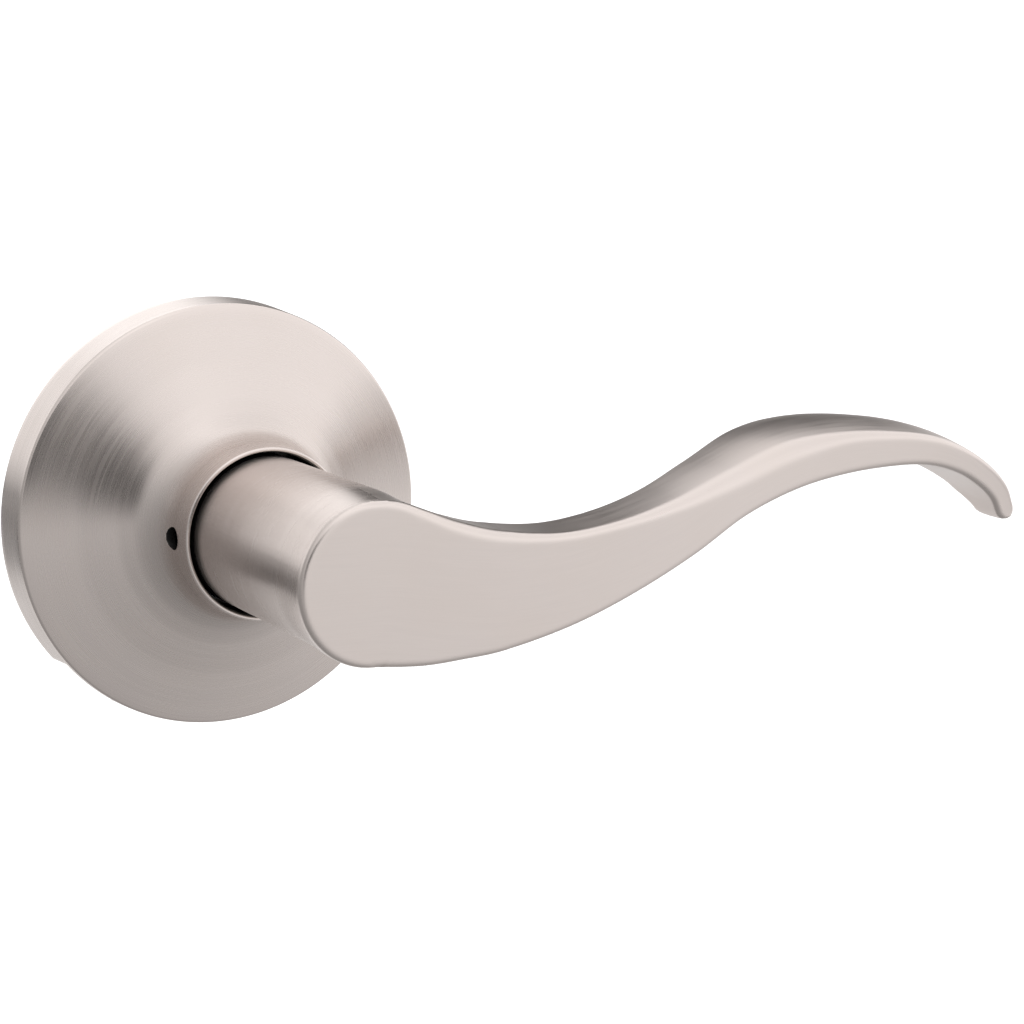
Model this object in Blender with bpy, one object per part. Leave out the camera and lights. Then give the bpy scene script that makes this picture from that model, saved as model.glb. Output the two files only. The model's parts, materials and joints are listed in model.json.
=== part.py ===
"""One side of a tubular door lever set: a wave-shaped lever, its round rose and the mechanism between them.

The origin is the centre of the rose's back rim, on the face of the door. The door lies at +Y, the lever
stands out towards -Y and points along +X, and +Z is up. A height here is a distance out from the door's
face, so a point at height h has y = -h. Sizes are in millimetres and become metres when a mesh is made.
"""

import math

import bmesh
import bpy
from mathutils import Matrix, Vector

MM = 0.001
GAP = 0.3  # clearance between two pieces that touch

# Rose: a spun cover with an upright skirt, a coned face and a neck round the lever's shank.
ROSE_RADIUS = 33.0
SKIRT_TOP_RADIUS = 32.55
SKIRT_HEIGHT = 6.3
SHOULDER = ((-0.2, 0.3), (-0.6, 0.5))  # steps in radius and height from the skirt's top to the face
FACE_BEND = (24.2, 9.3)  # radius and height where the coned face dips a little
FACE_TOP = (16.4, 12.15)
NECK_FLARE = ((14.7, 13.35), (13.6, 14.9), (13.1, 17.4))
NECK_FLARE_INSIDE = ((12.2, 15.4), (13.6, 12.7))
NECK_RADIUS = 13.0
NECK_HEIGHT = 22.9
NECK_BORE = 12.2
ROSE_WALL = 1.0
ROSE_STEPS = 60  # facets round the rose
PRY_NOTCH_ANGLE = 229.0
PRY_NOTCH_WIDTH = 12.0
PRY_NOTCH_HEIGHT = 5.4
CATCH_HEIGHT = 18.2  # height of the catch, and of the hole in the rose that reaches it
TOOL_HOLE_RADIUS = 1.7
CLIP_ANGLES = (30.0, 150.0, 270.0)
CLIP_SPREAD = 22.0
CLIP_THICKNESS = 0.8
CLIP_FOOT = 0.8
CLIP_TONGUE_LENGTH = 1.8

# Mounting plate, and the threaded posts that the screws from the other side of the door pull on.
PLATE_RADIUS = 30.0
PLATE_THICKNESS = 1.6
PLATE_EDGE_CHAMFER = 0.8
PLATE_RECESS = 0.4  # how far the middle of the plate's back stands off the door
PLATE_RECESS_RADIUS = 25.6
PLATE_FLANGE_HEIGHT = 4.4
PLATE_FLANGE_WALL = 1.2
PLATE_BORE = 8.5
POST_SPACING = 38.1
POST_RADIUS = 3.8
POST_NECK_RADIUS = 2.8
POST_HEAD_RADIUS = 4.4
POST_REACH = 18.5
POST_CHAMFER = 0.5
POST_HEAD_THICKNESS = 1.3
POST_THREAD_RADIUS = 1.75
POST_THREAD_DEPTH = 15.0
BACK = PLATE_RECESS - GAP  # height of what bears on the plate's back

# Spring cage, riveted to the plate, with a collar that carries the lever's spindle tube.
CAGE_RADIUS = 14.0
CAGE_WALL = 1.0
CAGE_FOOT = PLATE_THICKNESS + GAP
CAGE_TOP = 10.9
COLLAR_RADIUS = 8.3
COLLAR_TOP = 14.9
EAR_RADIUS = 17.0
EAR_ANGLES = (45.0, 135.0, 225.0, 315.0)
EAR_WIDTH = 5.6
RIVET_RADIUS = 1.4
RIVET_HEAD_RADIUS = 2.4
RIVET_TAIL_RADIUS = 2.2
RIVET_HEAD_HEIGHT = 1.1
RIVET_TAIL_HEIGHT = 0.8
STOP_ANGLE = 60.0  # from straight down to the side of each stop
STOP_SPREAD = 13.0
LUG_WIDTH = 3.0
LUG_RADII = (9.9, 10.7)
BUSHING_FLANGE_RADIUS = 10.2
BUSHING_FLANGE = 0.8
NECK_BUSHING_RIM = 1.0

# Lever turning gear. The cam's finger pushes the spring, and its arm meets the cage's stops.
TUBE_RADIUS = 6.7
TUBE_BORE = 5.3
TUBE_TOP = 46.0
TUBE_BACK = -6.2
TUBE_FLATS = 11.8
TUBE_FLATS_FOOT = 32.0
TUBE_GROOVE = (-4.7, -3.1)  # heights of the groove that the retaining ring snaps into
TUBE_GROOVE_DEPTH = 0.7
KEY_WINDOW_WIDTH = 3.0
CATCH_HOLE_RADIUS = 2.0
SPINDLE_SIDE = 7.0
SPINDLE_CHAMFER = 0.5
SPINDLE_TOP = 14.0
SPINDLE_BACK = -42.0
CROSS_PIN_HEIGHT = 12.0
CROSS_PIN_RADIUS = 1.0
CAM_FOOT = 2.2
CAM_THICKNESS = 1.6
CAM_RADIUS = 9.6
CAM_FINGER_WIDTH = 3.2
CAM_FINGER_RADII = (8.3, 9.5)
CAM_ARM_SPREAD = 16.0
CAM_ARM_RADII = (9.0, 12.6)
CAM_KEY_WIDTH = 2.4
CAM_KEY_OVERLAP = 0.8
SPRING_RADIUS = 11.6
SPRING_WIRE = 0.6
SPRING_FOOT = 4.6
SPRING_TOP = 9.0
SPRING_TURNS = 3
SPRING_LEG_OFFSET = 2.5
SPRING_LEG_END = 8.2
RING_BORE = TUBE_RADIUS + 0.4
RING_OUTER = 9.8
THRUST_WASHER = (-2.0, -1.4)  # heights of its two faces
WAVE_MIDDLE = -2.7
WAVE_THICKNESS = 0.3
WAVE_RISE = 0.25
WAVES = 3
SNAP_RING = (-4.4, -3.4)
SNAP_RING_RADIUS = 8.8
SNAP_RING_OPENING = 52.0
CATCH_TIP = -11.2
CATCH_PAD = (-4.2, -3.2)  # from x to x
CATCH_PAD_SIZE = (4.4, 6.0)
CATCH_BUTTON_RADIUS = 1.7
CATCH_SPRING = (-2.6, 4.5)  # from x to x
CATCH_SPRING_RADIUS = 1.5
CATCH_SPRING_WIRE = 0.25
CATCH_SPRING_TURNS = 6

# Lever: a round shank that runs into a flat-faced blade.
FACE_HEIGHT = 58.3
HEAD_RADIUS = 11.35
SHANK_RADIUS = 11.6
SHANK_FOOT = 12.5
SHANK_COUNTERBORE = 9.6
SHANK_COUNTERBORE_TOP = 20.6
HEAD_STATIONS = (12.0, 25.0, 40.0, 55.0, 72.0)  # degrees round the head from its left side
TIP_STATIONS = (30.0, 55.0, 75.0)
# The blade's middle line and section: x, z, height of the face, depth behind the face, crown of the
# top, radius of the upper edges.
BLADE_ROWS = (
    (-0.4, -0.28, 22.7, 6.2, 0.0, 0.8),
    (4.0, -0.9, 22.6, 7.3, 0.0, 1.1),
    (8.0, -1.85, 21.3, 8.4, 0.0, 1.5),
    (13.0, -2.83, 19.15, 9.1, 0.0, 1.7),
    (20.0, -3.65, 16.7, 9.6, 0.0, 1.5),
    (30.0, -3.2, 13.5, 9.4, 0.0, 1.1),
    (40.0, -1.2, 10.9, 9.8, 0.1, 1.0),
    (50.0, 1.9, 8.6, 11.6, 0.4, 1.5),
    (60.0, 6.0, 6.5, 14.6, 0.9, 2.2),
    (70.0, 9.1, 6.2, 17.6, 1.4, 2.2),
    (80.0, 10.3, 5.6, 19.2, 1.6, 1.3),
    (90.0, 10.1, 4.6, 18.0, 1.5, 0.9),
    (97.0, 9.1, 4.0, 15.4, 1.2, 0.8),
    (103.0, 6.9, 3.6, 12.4, 0.9, 0.8),
    (107.6, 4.0, 3.6, 10.6, 0.7, 0.8),
    (110.5, 1.3, 3.5, 9.4, 0.4, 0.8),
    (111.8, -1.3, 3.3, 6.6, 0.2, 0.8),
)
TIP_LENGTH = 1.8  # the blade's rounded end, past the last row
LOWER_EDGE = 0.9  # most that the lower edges are rounded
HEAD_SIDE_DEPTH = 3.4  # how deep the face's rim is on the side of the head away from the blade
UPRIGHT_TO = 20.0  # sections stand upright this far along, then square to the middle line

COLOURS = {
    "satin_nickel": ((0.62, 0.585, 0.565, 1.0), 1.0, 0.32),
    "zinc_steel": ((0.55, 0.56, 0.57, 1.0), 1.0, 0.42),
    "spring_steel": ((0.30, 0.30, 0.31, 1.0), 1.0, 0.38),
    "bright_steel": ((0.60, 0.60, 0.58, 1.0), 1.0, 0.30),
    "cast_zinc": ((0.42, 0.43, 0.44, 1.0), 1.0, 0.5),
    "nylon": ((0.80, 0.79, 0.74, 1.0), 0.0, 0.45),
    "brass": ((0.66, 0.50, 0.24, 1.0), 1.0, 0.35),
}


def clear_scene():
    for obj in list(bpy.data.objects):
        bpy.data.objects.remove(obj, do_unlink=True)


def material(name, finish):
    colour, metallic, roughness = COLOURS[finish]
    made = bpy.data.materials.new(name)
    made.use_nodes = True
    shader = made.node_tree.nodes["Principled BSDF"]
    shader.inputs["Base Color"].default_value = colour
    shader.inputs["Metallic"].default_value = metallic
    shader.inputs["Roughness"].default_value = roughness
    made.diffuse_color = colour
    return made


def at(x, height, z):
    return Vector((x, -height, z)) * MM


def polar(radius, degrees):
    angle = math.radians(degrees)
    return radius * math.cos(angle), radius * math.sin(angle)


def arc(centre, radius, start, end, steps):
    """Points of an arc in any plane, from the start angle to the end angle, in degrees."""
    points = []
    for step in range(steps + 1):
        x, y = polar(radius, start + (end - start) * step / steps)
        points.append((centre[0] + x, centre[1] + y))
    return points


def mesh_object(name, bm, parent=None, finish=None, crease=30.0):
    """Makes an object of a bmesh. Without a finish it is a tool, which a render and the part leave out."""
    bmesh.ops.recalc_face_normals(bm, faces=bm.faces)
    mesh = bpy.data.meshes.new(name)
    bm.to_mesh(mesh)
    bm.free()
    mesh.shade_smooth()
    mesh.set_sharp_from_angle(angle=math.radians(crease))
    obj = bpy.data.objects.new(name, mesh)
    bpy.context.scene.collection.objects.link(obj)
    obj.parent = parent
    if finish:
        mesh.materials.append(material(name, finish))
    else:
        obj.hide_render = True
        obj.display_type = "WIRE"
    return obj


def turned_mesh(outline, segments=48, start=0.0, sweep=360.0):
    """Spins a closed outline of (radius, height) points about the door's axis."""
    bm = bmesh.new()
    verts = [bm.verts.new(at(radius, height, 0.0)) for radius, height in outline]
    section = bm.faces.new(verts)
    bmesh.ops.rotate(bm, verts=verts, matrix=Matrix.Rotation(-math.radians(start), 3, "Y"))
    full = sweep >= 360.0
    edges = list(section.edges)
    geometry = [*verts, *edges] if full else [*verts, *edges, section]
    if full:
        bm.faces.remove(section)
    bmesh.ops.spin(
        bm,
        geom=geometry,
        axis=(0.0, -1.0, 0.0),
        cent=(0.0, 0.0, 0.0),
        angle=math.radians(sweep),
        steps=segments,
        use_merge=False,
    )
    bmesh.ops.remove_doubles(bm, verts=bm.verts, dist=1e-6)
    bmesh.ops.dissolve_degenerate(bm, edges=bm.edges, dist=1e-7)
    on_axis = [edge for edge in bm.edges if not edge.link_faces]
    bmesh.ops.delete(bm, geom=on_axis, context="EDGES")
    return bm


def turned(name, outline, parent=None, finish=None, segments=48):
    return mesh_object(name, turned_mesh(outline, segments), parent, finish)


def prism_mesh(outline, foot, top):
    """Extrudes a closed outline of (x, z) points from one height to another."""
    bm = bmesh.new()
    face = bm.faces.new([bm.verts.new(at(x, foot, z)) for x, z in outline])
    grown = bmesh.ops.extrude_face_region(bm, geom=[face])["geom"]
    moved = [item for item in grown if isinstance(item, bmesh.types.BMVert)]
    bmesh.ops.translate(bm, verts=moved, vec=at(0.0, top - foot, 0.0))
    return bm


def prism(name, outline, foot, top, parent=None, finish=None):
    return mesh_object(name, prism_mesh(outline, foot, top), parent, finish)


def ring_sector(inner, outer, start, end, steps=6):
    """An outline in the plane of the door, between two radii and two angles."""
    centre = (0.0, 0.0)
    return arc(centre, outer, start, end, steps) + arc(centre, inner, end, start, steps)


def rectangle(x0, x1, z0, z1):
    return [(x0, z0), (x1, z0), (x1, z1), (x0, z1)]


def circle(x, z, radius, segments=24):
    half = 180.0 / segments
    return arc((x, z), radius, half, 360.0 - half, segments - 1)


def rod(name, start, end, radius, segments=20, parent=None, finish=None):
    """A round bar between two points given as (x, height, z)."""
    foot = at(*start)
    run = at(*end) - foot
    bm = bmesh.new()
    turn = run.to_track_quat("Z", "Y").to_matrix().to_4x4()
    bmesh.ops.create_cone(
        bm,
        cap_ends=True,
        segments=segments,
        radius1=radius * MM,
        radius2=radius * MM,
        depth=run.length,
        matrix=Matrix.Translation(foot + run / 2) @ turn,
    )
    return mesh_object(name, bm, parent, finish)


def combine(obj, tool, operation):
    step = obj.modifiers.new(f"{operation.lower()} {tool.name}", "BOOLEAN")
    step.operation = operation
    step.object = tool
    tool.parent = obj.parent
    tool.hide_render = True
    tool.display_type = "WIRE"


def cut(obj, tool):
    combine(obj, tool, "DIFFERENCE")


def join(obj, tool):
    combine(obj, tool, "UNION")


def wire(name, points, radius, parent, finish, sides_level=2):
    """A bent wire through (x, height, z) points, with flat ends."""
    curve = bpy.data.curves.new(name, "CURVE")
    curve.dimensions = "3D"
    curve.bevel_depth = radius * MM
    curve.bevel_resolution = sides_level
    curve.use_fill_caps = True
    spline = curve.splines.new("POLY")
    spline.points.add(len(points) - 1)
    for slot, point in zip(spline.points, points):
        slot.co = (*at(*point), 1.0)
    spline.use_smooth = True
    obj = bpy.data.objects.new(name, curve)
    bpy.context.scene.collection.objects.link(obj)
    obj.parent = parent
    curve.materials.append(material(name, finish))
    return obj


def joint_empty(name, location=(0.0, 0.0, 0.0), parent=None):
    empty = bpy.data.objects.new(name, None)
    bpy.context.scene.collection.objects.link(empty)
    empty.location = location
    empty.parent = parent
    return empty


def rose_outline():
    """The rose's wall: up the outside from the rim to the neck's lip, then back down the inside."""
    lip = (NECK_RADIUS - NECK_BORE) / 2
    bend_radius, bend_height = FACE_BEND
    top_radius, top_height = FACE_TOP
    inset = 0.4
    outside = [(ROSE_RADIUS, 0.0), (SKIRT_TOP_RADIUS, SKIRT_HEIGHT)]
    outside += [(SKIRT_TOP_RADIUS + inward, SKIRT_HEIGHT + up) for inward, up in SHOULDER]
    outside += [FACE_BEND, FACE_TOP, *NECK_FLARE]
    rim = arc((NECK_RADIUS - lip, NECK_HEIGHT - lip), lip, 0.0, 180.0, 6)
    inside = [
        *NECK_FLARE_INSIDE,
        (top_radius - inset, top_height - ROSE_WALL),
        (bend_radius - inset, bend_height - ROSE_WALL),
        (SKIRT_TOP_RADIUS - ROSE_WALL, SKIRT_HEIGHT - inset),
        (ROSE_RADIUS - ROSE_WALL, 0.0),
    ]
    return outside + rim + inside


def make_rose(trim):
    rose = turned("rose_cover", rose_outline(), trim, "satin_nickel", segments=ROSE_STEPS)
    half = PRY_NOTCH_WIDTH / 2
    across = rectangle(ROSE_RADIUS - 4.0, ROSE_RADIUS + 2.0, -half, half)
    notch = prism("rose_notch_cutter", across, -1.0, PRY_NOTCH_HEIGHT)
    notch.rotation_euler.y = -math.radians(PRY_NOTCH_ANGLE)
    cut(rose, notch)
    outer_end = (-NECK_RADIUS - 3.0, CATCH_HEIGHT, 0.0)
    inner_end = (-NECK_BORE + 2.0, CATCH_HEIGHT, 0.0)
    cut(rose, rod("rose_hole_cutter", outer_end, inner_end, TOOL_HOLE_RADIUS))


def make_rose_clips(trim):
    """Spring clips that hook over the plate's flange and grip the inside of the rose's skirt."""
    inner = PLATE_RADIUS + GAP
    outer = inner + CLIP_THICKNESS
    hook = PLATE_FLANGE_HEIGHT + GAP
    top = hook + CLIP_THICKNESS - 0.1
    corner = 0.3
    tongue = PLATE_RADIUS - CLIP_TONGUE_LENGTH
    outline = [
        (inner, CLIP_FOOT),
        (outer, CLIP_FOOT),
        (outer, top - corner),
        (outer - corner, top),
        (tongue, top),
        (tongue, hook),
        (inner, hook),
    ]
    for number, degrees in enumerate(CLIP_ANGLES, start=1):
        shape = turned_mesh(outline, segments=6, start=-CLIP_SPREAD / 2, sweep=CLIP_SPREAD)
        clip = mesh_object(f"rose_clip_{number}", shape, trim, "spring_steel")
        clip.rotation_euler.y = -math.radians(degrees)


def make_plate(trim):
    wall = PLATE_RADIUS - PLATE_FLANGE_WALL
    outline = [
        (PLATE_BORE, PLATE_RECESS),
        (PLATE_RECESS_RADIUS, PLATE_RECESS),
        (PLATE_RECESS_RADIUS + PLATE_RECESS, 0.0),
        (PLATE_RADIUS - PLATE_EDGE_CHAMFER, 0.0),
        (PLATE_RADIUS, PLATE_EDGE_CHAMFER),
        (PLATE_RADIUS, PLATE_FLANGE_HEIGHT),
        (wall, PLATE_FLANGE_HEIGHT),
        (wall, PLATE_THICKNESS),
        (PLATE_BORE, PLATE_THICKNESS),
    ]
    plate = turned("mounting_plate", outline, trim, "zinc_steel")
    for side, x in (("left", -POST_SPACING / 2), ("right", POST_SPACING / 2)):
        hole = circle(x, 0.0, POST_NECK_RADIUS + GAP)
        cut(plate, prism(f"plate_post_hole_{side}", hole, -1.0, PLATE_THICKNESS + 1.0))
    for number, degrees in enumerate(EAR_ANGLES, start=1):
        hole = circle(*polar(EAR_RADIUS, degrees), RIVET_RADIUS + GAP, 16)
        cut(plate, prism(f"plate_rivet_hole_{number}", hole, -1.0, PLATE_THICKNESS + 1.0))


def make_posts(trim):
    """Internally threaded posts, staked into the plate, that reach into the door's bore."""
    head = PLATE_THICKNESS + GAP
    head_top = head + POST_HEAD_THICKNESS
    bore_end = POST_THREAD_DEPTH - POST_REACH
    outline = [
        (POST_THREAD_RADIUS, -POST_REACH),
        (POST_RADIUS - POST_CHAMFER, -POST_REACH),
        (POST_RADIUS, -POST_REACH + POST_CHAMFER),
        (POST_RADIUS, BACK),
        (POST_NECK_RADIUS, BACK),
        (POST_NECK_RADIUS, head),
        (POST_HEAD_RADIUS, head),
        (POST_HEAD_RADIUS, head_top - POST_CHAMFER),
        (POST_HEAD_RADIUS - 2.0 * POST_CHAMFER, head_top),
        (0.0, head_top),
        (0.0, bore_end),
        (POST_THREAD_RADIUS, bore_end - 1.0),
    ]
    for side, x in (("left", -POST_SPACING / 2), ("right", POST_SPACING / 2)):
        post = turned(f"mounting_post_{side}", outline, trim, "zinc_steel", segments=24)
        post.location = at(x, 0.0, 0.0)


def make_cage(trim):
    """A cup on four riveted ears. Inside it are the lug that holds the spring and the lever's two stops."""
    inside = CAGE_RADIUS - CAGE_WALL
    roof = CAGE_TOP - CAGE_WALL
    bore = TUBE_RADIUS + GAP
    bend = 0.9
    outline = [
        (inside, CAGE_FOOT),
        (CAGE_RADIUS, CAGE_FOOT),
        (CAGE_RADIUS, CAGE_TOP - bend),
        (CAGE_RADIUS - bend, CAGE_TOP),
        (COLLAR_RADIUS, CAGE_TOP),
        (COLLAR_RADIUS, COLLAR_TOP),
        (bore, COLLAR_TOP),
        (bore, roof),
        (inside, roof),
    ]
    cage = turned("spring_cage", outline, trim, "zinc_steel", segments=40)
    half = EAR_WIDTH / 2
    root = CAGE_RADIUS - 0.6
    for number, degrees in enumerate(EAR_ANGLES, start=1):
        ear_end = arc((EAR_RADIUS, 0.0), half, -90.0, 90.0, 8)
        ear = prism(
            f"cage_ear_{number}", [(root, -half), *ear_end, (root, half)], CAGE_FOOT, CAGE_FOOT + CAGE_WALL
        )
        ear.rotation_euler.y = -math.radians(degrees)
        join(cage, ear)
    for number, degrees in enumerate(EAR_ANGLES, start=1):
        hole = circle(*polar(EAR_RADIUS, degrees), RIVET_RADIUS + GAP, 16)
        cut(cage, prism(f"cage_rivet_hole_{number}", hole, CAGE_FOOT - 1.0, CAGE_FOOT + 2.0))
    cam_top = CAM_FOOT + CAM_THICKNESS
    lug = rectangle(-LUG_WIDTH / 2, LUG_WIDTH / 2, *LUG_RADII)
    join(cage, prism("cage_lug", lug, cam_top + GAP, roof + 0.5))
    for side, sign in (("left", -1), ("right", 1)):
        near = 270.0 + sign * STOP_ANGLE
        stop = ring_sector(inside - 2.0, inside + 0.6, near, near + sign * STOP_SPREAD)
        join(cage, prism(f"cage_stop_{side}", stop, CAGE_FOOT, cam_top))


def make_rivets(trim):
    """Four rivets clamp the cage's ears to the plate."""
    front = CAGE_FOOT + CAGE_WALL + GAP
    outline = [
        (0.0, BACK - RIVET_TAIL_HEIGHT),
        (0.7 * RIVET_TAIL_RADIUS, BACK - 0.8 * RIVET_TAIL_HEIGHT),
        (RIVET_TAIL_RADIUS, BACK),
        (RIVET_RADIUS, BACK),
        (RIVET_RADIUS, front),
        (RIVET_HEAD_RADIUS, front),
        (0.9 * RIVET_HEAD_RADIUS, front + 0.6 * RIVET_HEAD_HEIGHT),
        (0.0, front + RIVET_HEAD_HEIGHT),
    ]
    for number, degrees in enumerate(EAR_ANGLES, start=1):
        rivet = turned(f"cage_rivet_{number}", outline, trim, "zinc_steel", segments=16)
        x, z = polar(EAR_RADIUS, degrees)
        rivet.location = at(x, 0.0, z)


def make_bushings(trim):
    """Nylon bushes: one in the plate, and one round the cage's collar that the lever's shank turns on."""
    bore = TUBE_RADIUS + GAP
    body = PLATE_BORE - GAP
    rear = [
        (bore, BACK - BUSHING_FLANGE),
        (BUSHING_FLANGE_RADIUS, BACK - BUSHING_FLANGE),
        (BUSHING_FLANGE_RADIUS, BACK),
        (body, BACK),
        (body, PLATE_THICKNESS),
        (bore, PLATE_THICKNESS),
    ]
    turned("rear_bushing", rear, trim, "nylon", segments=32)
    foot = CAGE_TOP + GAP
    inner = COLLAR_RADIUS + GAP
    outer = SHANK_COUNTERBORE - GAP
    rim = SHANK_RADIUS - 0.4
    neck = [
        (inner, foot),
        (rim, foot),
        (rim, foot + NECK_BUSHING_RIM),
        (outer, foot + NECK_BUSHING_RIM),
        (outer, COLLAR_TOP - GAP),
        (inner, COLLAR_TOP - GAP),
    ]
    turned("neck_bushing", neck, trim, "nylon", segments=32)


def make_return_spring(trim):
    """A torsion spring whose two legs turn in, one on each side of the cage's lug and the cam's finger."""
    leg_top = SPRING_RADIUS - 1.2
    side = SPRING_LEG_OFFSET
    aside = math.degrees(math.asin(side / SPRING_RADIUS))
    sweep = 360.0 * SPRING_TURNS - 2.0 * aside
    turns = []
    steps = 22 * SPRING_TURNS
    for step in range(1, steps):
        share = step / steps
        x, z = polar(SPRING_RADIUS, 90.0 + aside + sweep * share)
        turns.append((x, SPRING_FOOT + (SPRING_TOP - SPRING_FOOT) * share, z))
    first_leg = [(-side, SPRING_FOOT, SPRING_LEG_END), (-side, SPRING_FOOT, leg_top)]
    last_leg = [(side, SPRING_TOP, leg_top), (side, SPRING_TOP, SPRING_LEG_END)]
    points = first_leg + turns + last_leg
    wire("lever_return_spring", points, SPRING_WIRE, trim, "spring_steel", sides_level=1)


def make_cam(lever):
    """Keyed to the tube: a finger that pushes the spring's legs, and an arm that meets the cage's stops."""
    top = CAM_FOOT + CAM_THICKNESS
    bore = TUBE_RADIUS + GAP
    outline = [(bore, CAM_FOOT), (CAM_RADIUS, CAM_FOOT), (CAM_RADIUS, top), (bore, top)]
    cam = turned("return_cam", outline, lever, "cast_zinc", segments=32)
    across = rectangle(-CAM_FINGER_WIDTH / 2, CAM_FINGER_WIDTH / 2, *CAM_FINGER_RADII)
    finger = prism("cam_finger", across, CAM_FOOT + 0.4, SPRING_TOP + 0.4)
    half = CAM_ARM_SPREAD / 2
    arm = prism("cam_arm", ring_sector(*CAM_ARM_RADII, 270.0 - half, 270.0 + half), CAM_FOOT, top)
    key_width = CAM_KEY_WIDTH / 2
    key_outline = rectangle(-key_width, key_width, -bore - CAM_KEY_OVERLAP, 0.5 - TUBE_RADIUS)
    key = prism("cam_key", key_outline, CAM_FOOT, top)
    for piece in (finger, arm, key):
        join(cam, piece)


def make_tube(lever):
    groove = TUBE_RADIUS - TUBE_GROOVE_DEPTH
    groove_back, groove_front = TUBE_GROOVE
    outline = [
        (TUBE_BORE, TUBE_BACK),
        (TUBE_RADIUS, TUBE_BACK),
        (TUBE_RADIUS, groove_back),
        (groove, groove_back),
        (groove, groove_front),
        (TUBE_RADIUS, groove_front),
        (TUBE_RADIUS, TUBE_TOP),
        (TUBE_BORE, TUBE_TOP),
    ]
    tube = turned("spindle_tube", outline, lever, "zinc_steel", segments=32)
    far = TUBE_RADIUS + 2.0
    flat = TUBE_FLATS / 2
    for side, z0, z1 in (("top", flat, far), ("bottom", -far, -flat)):
        outline = rectangle(-far, far, z0, z1)
        cut(tube, prism(f"tube_flat_{side}", outline, TUBE_FLATS_FOOT, TUBE_TOP + 1.0))
    half = KEY_WINDOW_WIDTH / 2
    window = rectangle(-half, half, -far, 1.0 - TUBE_BORE)
    cut(tube, prism("tube_key_window", window, CAM_FOOT - GAP, CAM_FOOT + CAM_THICKNESS + GAP))
    pin_axis = ((0, CROSS_PIN_HEIGHT, -far), (0, CROSS_PIN_HEIGHT, far))
    cut(tube, rod("tube_pin_hole", *pin_axis, CROSS_PIN_RADIUS + GAP, 16))
    catch_axis = ((-far, CATCH_HEIGHT, 0), (-2.0, CATCH_HEIGHT, 0))
    cut(tube, rod("tube_catch_hole", *catch_axis, CATCH_HOLE_RADIUS))


def make_spindle(lever):
    """The square bar that turns the latch, and the pin that holds it in the tube."""
    half = SPINDLE_SIDE / 2
    flat = half - SPINDLE_CHAMFER
    outline = [
        (half, -flat),
        (half, flat),
        (flat, half),
        (-flat, half),
        (-half, flat),
        (-half, -flat),
        (-flat, -half),
        (flat, -half),
    ]
    spindle = prism("spindle", outline, SPINDLE_BACK, SPINDLE_TOP, lever, "bright_steel")
    reach = TUBE_RADIUS + 1.0
    hole_axis = ((0, CROSS_PIN_HEIGHT, -reach), (0, CROSS_PIN_HEIGHT, reach))
    cut(spindle, rod("spindle_pin_hole", *hole_axis, CROSS_PIN_RADIUS + GAP, 16))
    end = TUBE_RADIUS - 0.2
    pin_axis = ((0, CROSS_PIN_HEIGHT, -end), (0, CROSS_PIN_HEIGHT, end))
    rod("cross_pin", *pin_axis, CROSS_PIN_RADIUS, 16, lever, "bright_steel")


def make_rear_rings(lever):
    """Behind the plate: a flat washer, a wave washer and the ring that keeps the tube in."""
    back, front = THRUST_WASHER
    flat = [(RING_BORE, back), (RING_OUTER, back), (RING_OUTER, front), (RING_BORE, front)]
    turned("thrust_washer", flat, lever, "brass", segments=32)
    back = WAVE_MIDDLE - WAVE_THICKNESS / 2
    front = WAVE_MIDDLE + WAVE_THICKNESS / 2
    strip = [(RING_BORE, back), (RING_OUTER, back), (RING_OUTER, front), (RING_BORE, front)]
    bm = turned_mesh(strip)
    for vert in bm.verts:
        vert.co.y += WAVE_RISE * MM * math.cos(WAVES * math.atan2(vert.co.z, vert.co.x))
    mesh_object("wave_washer", bm, lever, "spring_steel")
    half = SNAP_RING_OPENING / 2
    inner = TUBE_RADIUS - TUBE_GROOVE_DEPTH + GAP
    ring = ring_sector(inner, SNAP_RING_RADIUS, 90.0 + half, 450.0 - half, 30)
    prism("retaining_ring", ring, *SNAP_RING, lever, "spring_steel")


def make_catch(catch):
    """A sprung button that stands out through the tube and the shank, under the hole in the rose."""
    back, front = CATCH_PAD
    bm = bmesh.new()
    bmesh.ops.create_cube(bm, size=1.0)
    bmesh.ops.scale(bm, verts=bm.verts, vec=Vector((front - back, *CATCH_PAD_SIZE)) * MM)
    bmesh.ops.translate(bm, verts=bm.verts, vec=at((back + front) / 2, 0.0, 0.0))
    body = mesh_object("lever_catch", bm, catch, "spring_steel")
    join(body, rod("catch_button_tool", (CATCH_TIP, 0, 0), (front - 0.5, 0, 0), CATCH_BUTTON_RADIUS))


def make_catch_spring(lever):
    """A small compression spring across the tube."""
    start, end = CATCH_SPRING
    steps = CATCH_SPRING_TURNS * 10
    points = []
    for step in range(steps + 1):
        share = step / steps
        up, z = polar(CATCH_SPRING_RADIUS, 360.0 * CATCH_SPRING_TURNS * share)
        points.append((start + (end - start) * share, CATCH_HEIGHT + up, z))
    wire("catch_spring", points, CATCH_SPRING_WIRE, lever, "spring_steel", sides_level=0)


def catmull(rows, place):
    """A smooth reading of every column between the rows, at a place counted in rows."""
    index = min(int(place), len(rows) - 2)
    share = place - index
    last = len(rows) - 1
    picked = [rows[max(0, min(last, index + offset))] for offset in (-1, 0, 1, 2)]
    values = []
    for a, b, c, d in zip(*picked):
        slope_b = (c - a) / 2
        slope_c = (d - b) / 2
        square = share * share
        cube = square * share
        values.append(
            b * (2 * cube - 3 * square + 1)
            + slope_b * (cube - 2 * square + share)
            + c * (3 * square - 2 * cube)
            + slope_c * (cube - square)
        )
    return values


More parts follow.
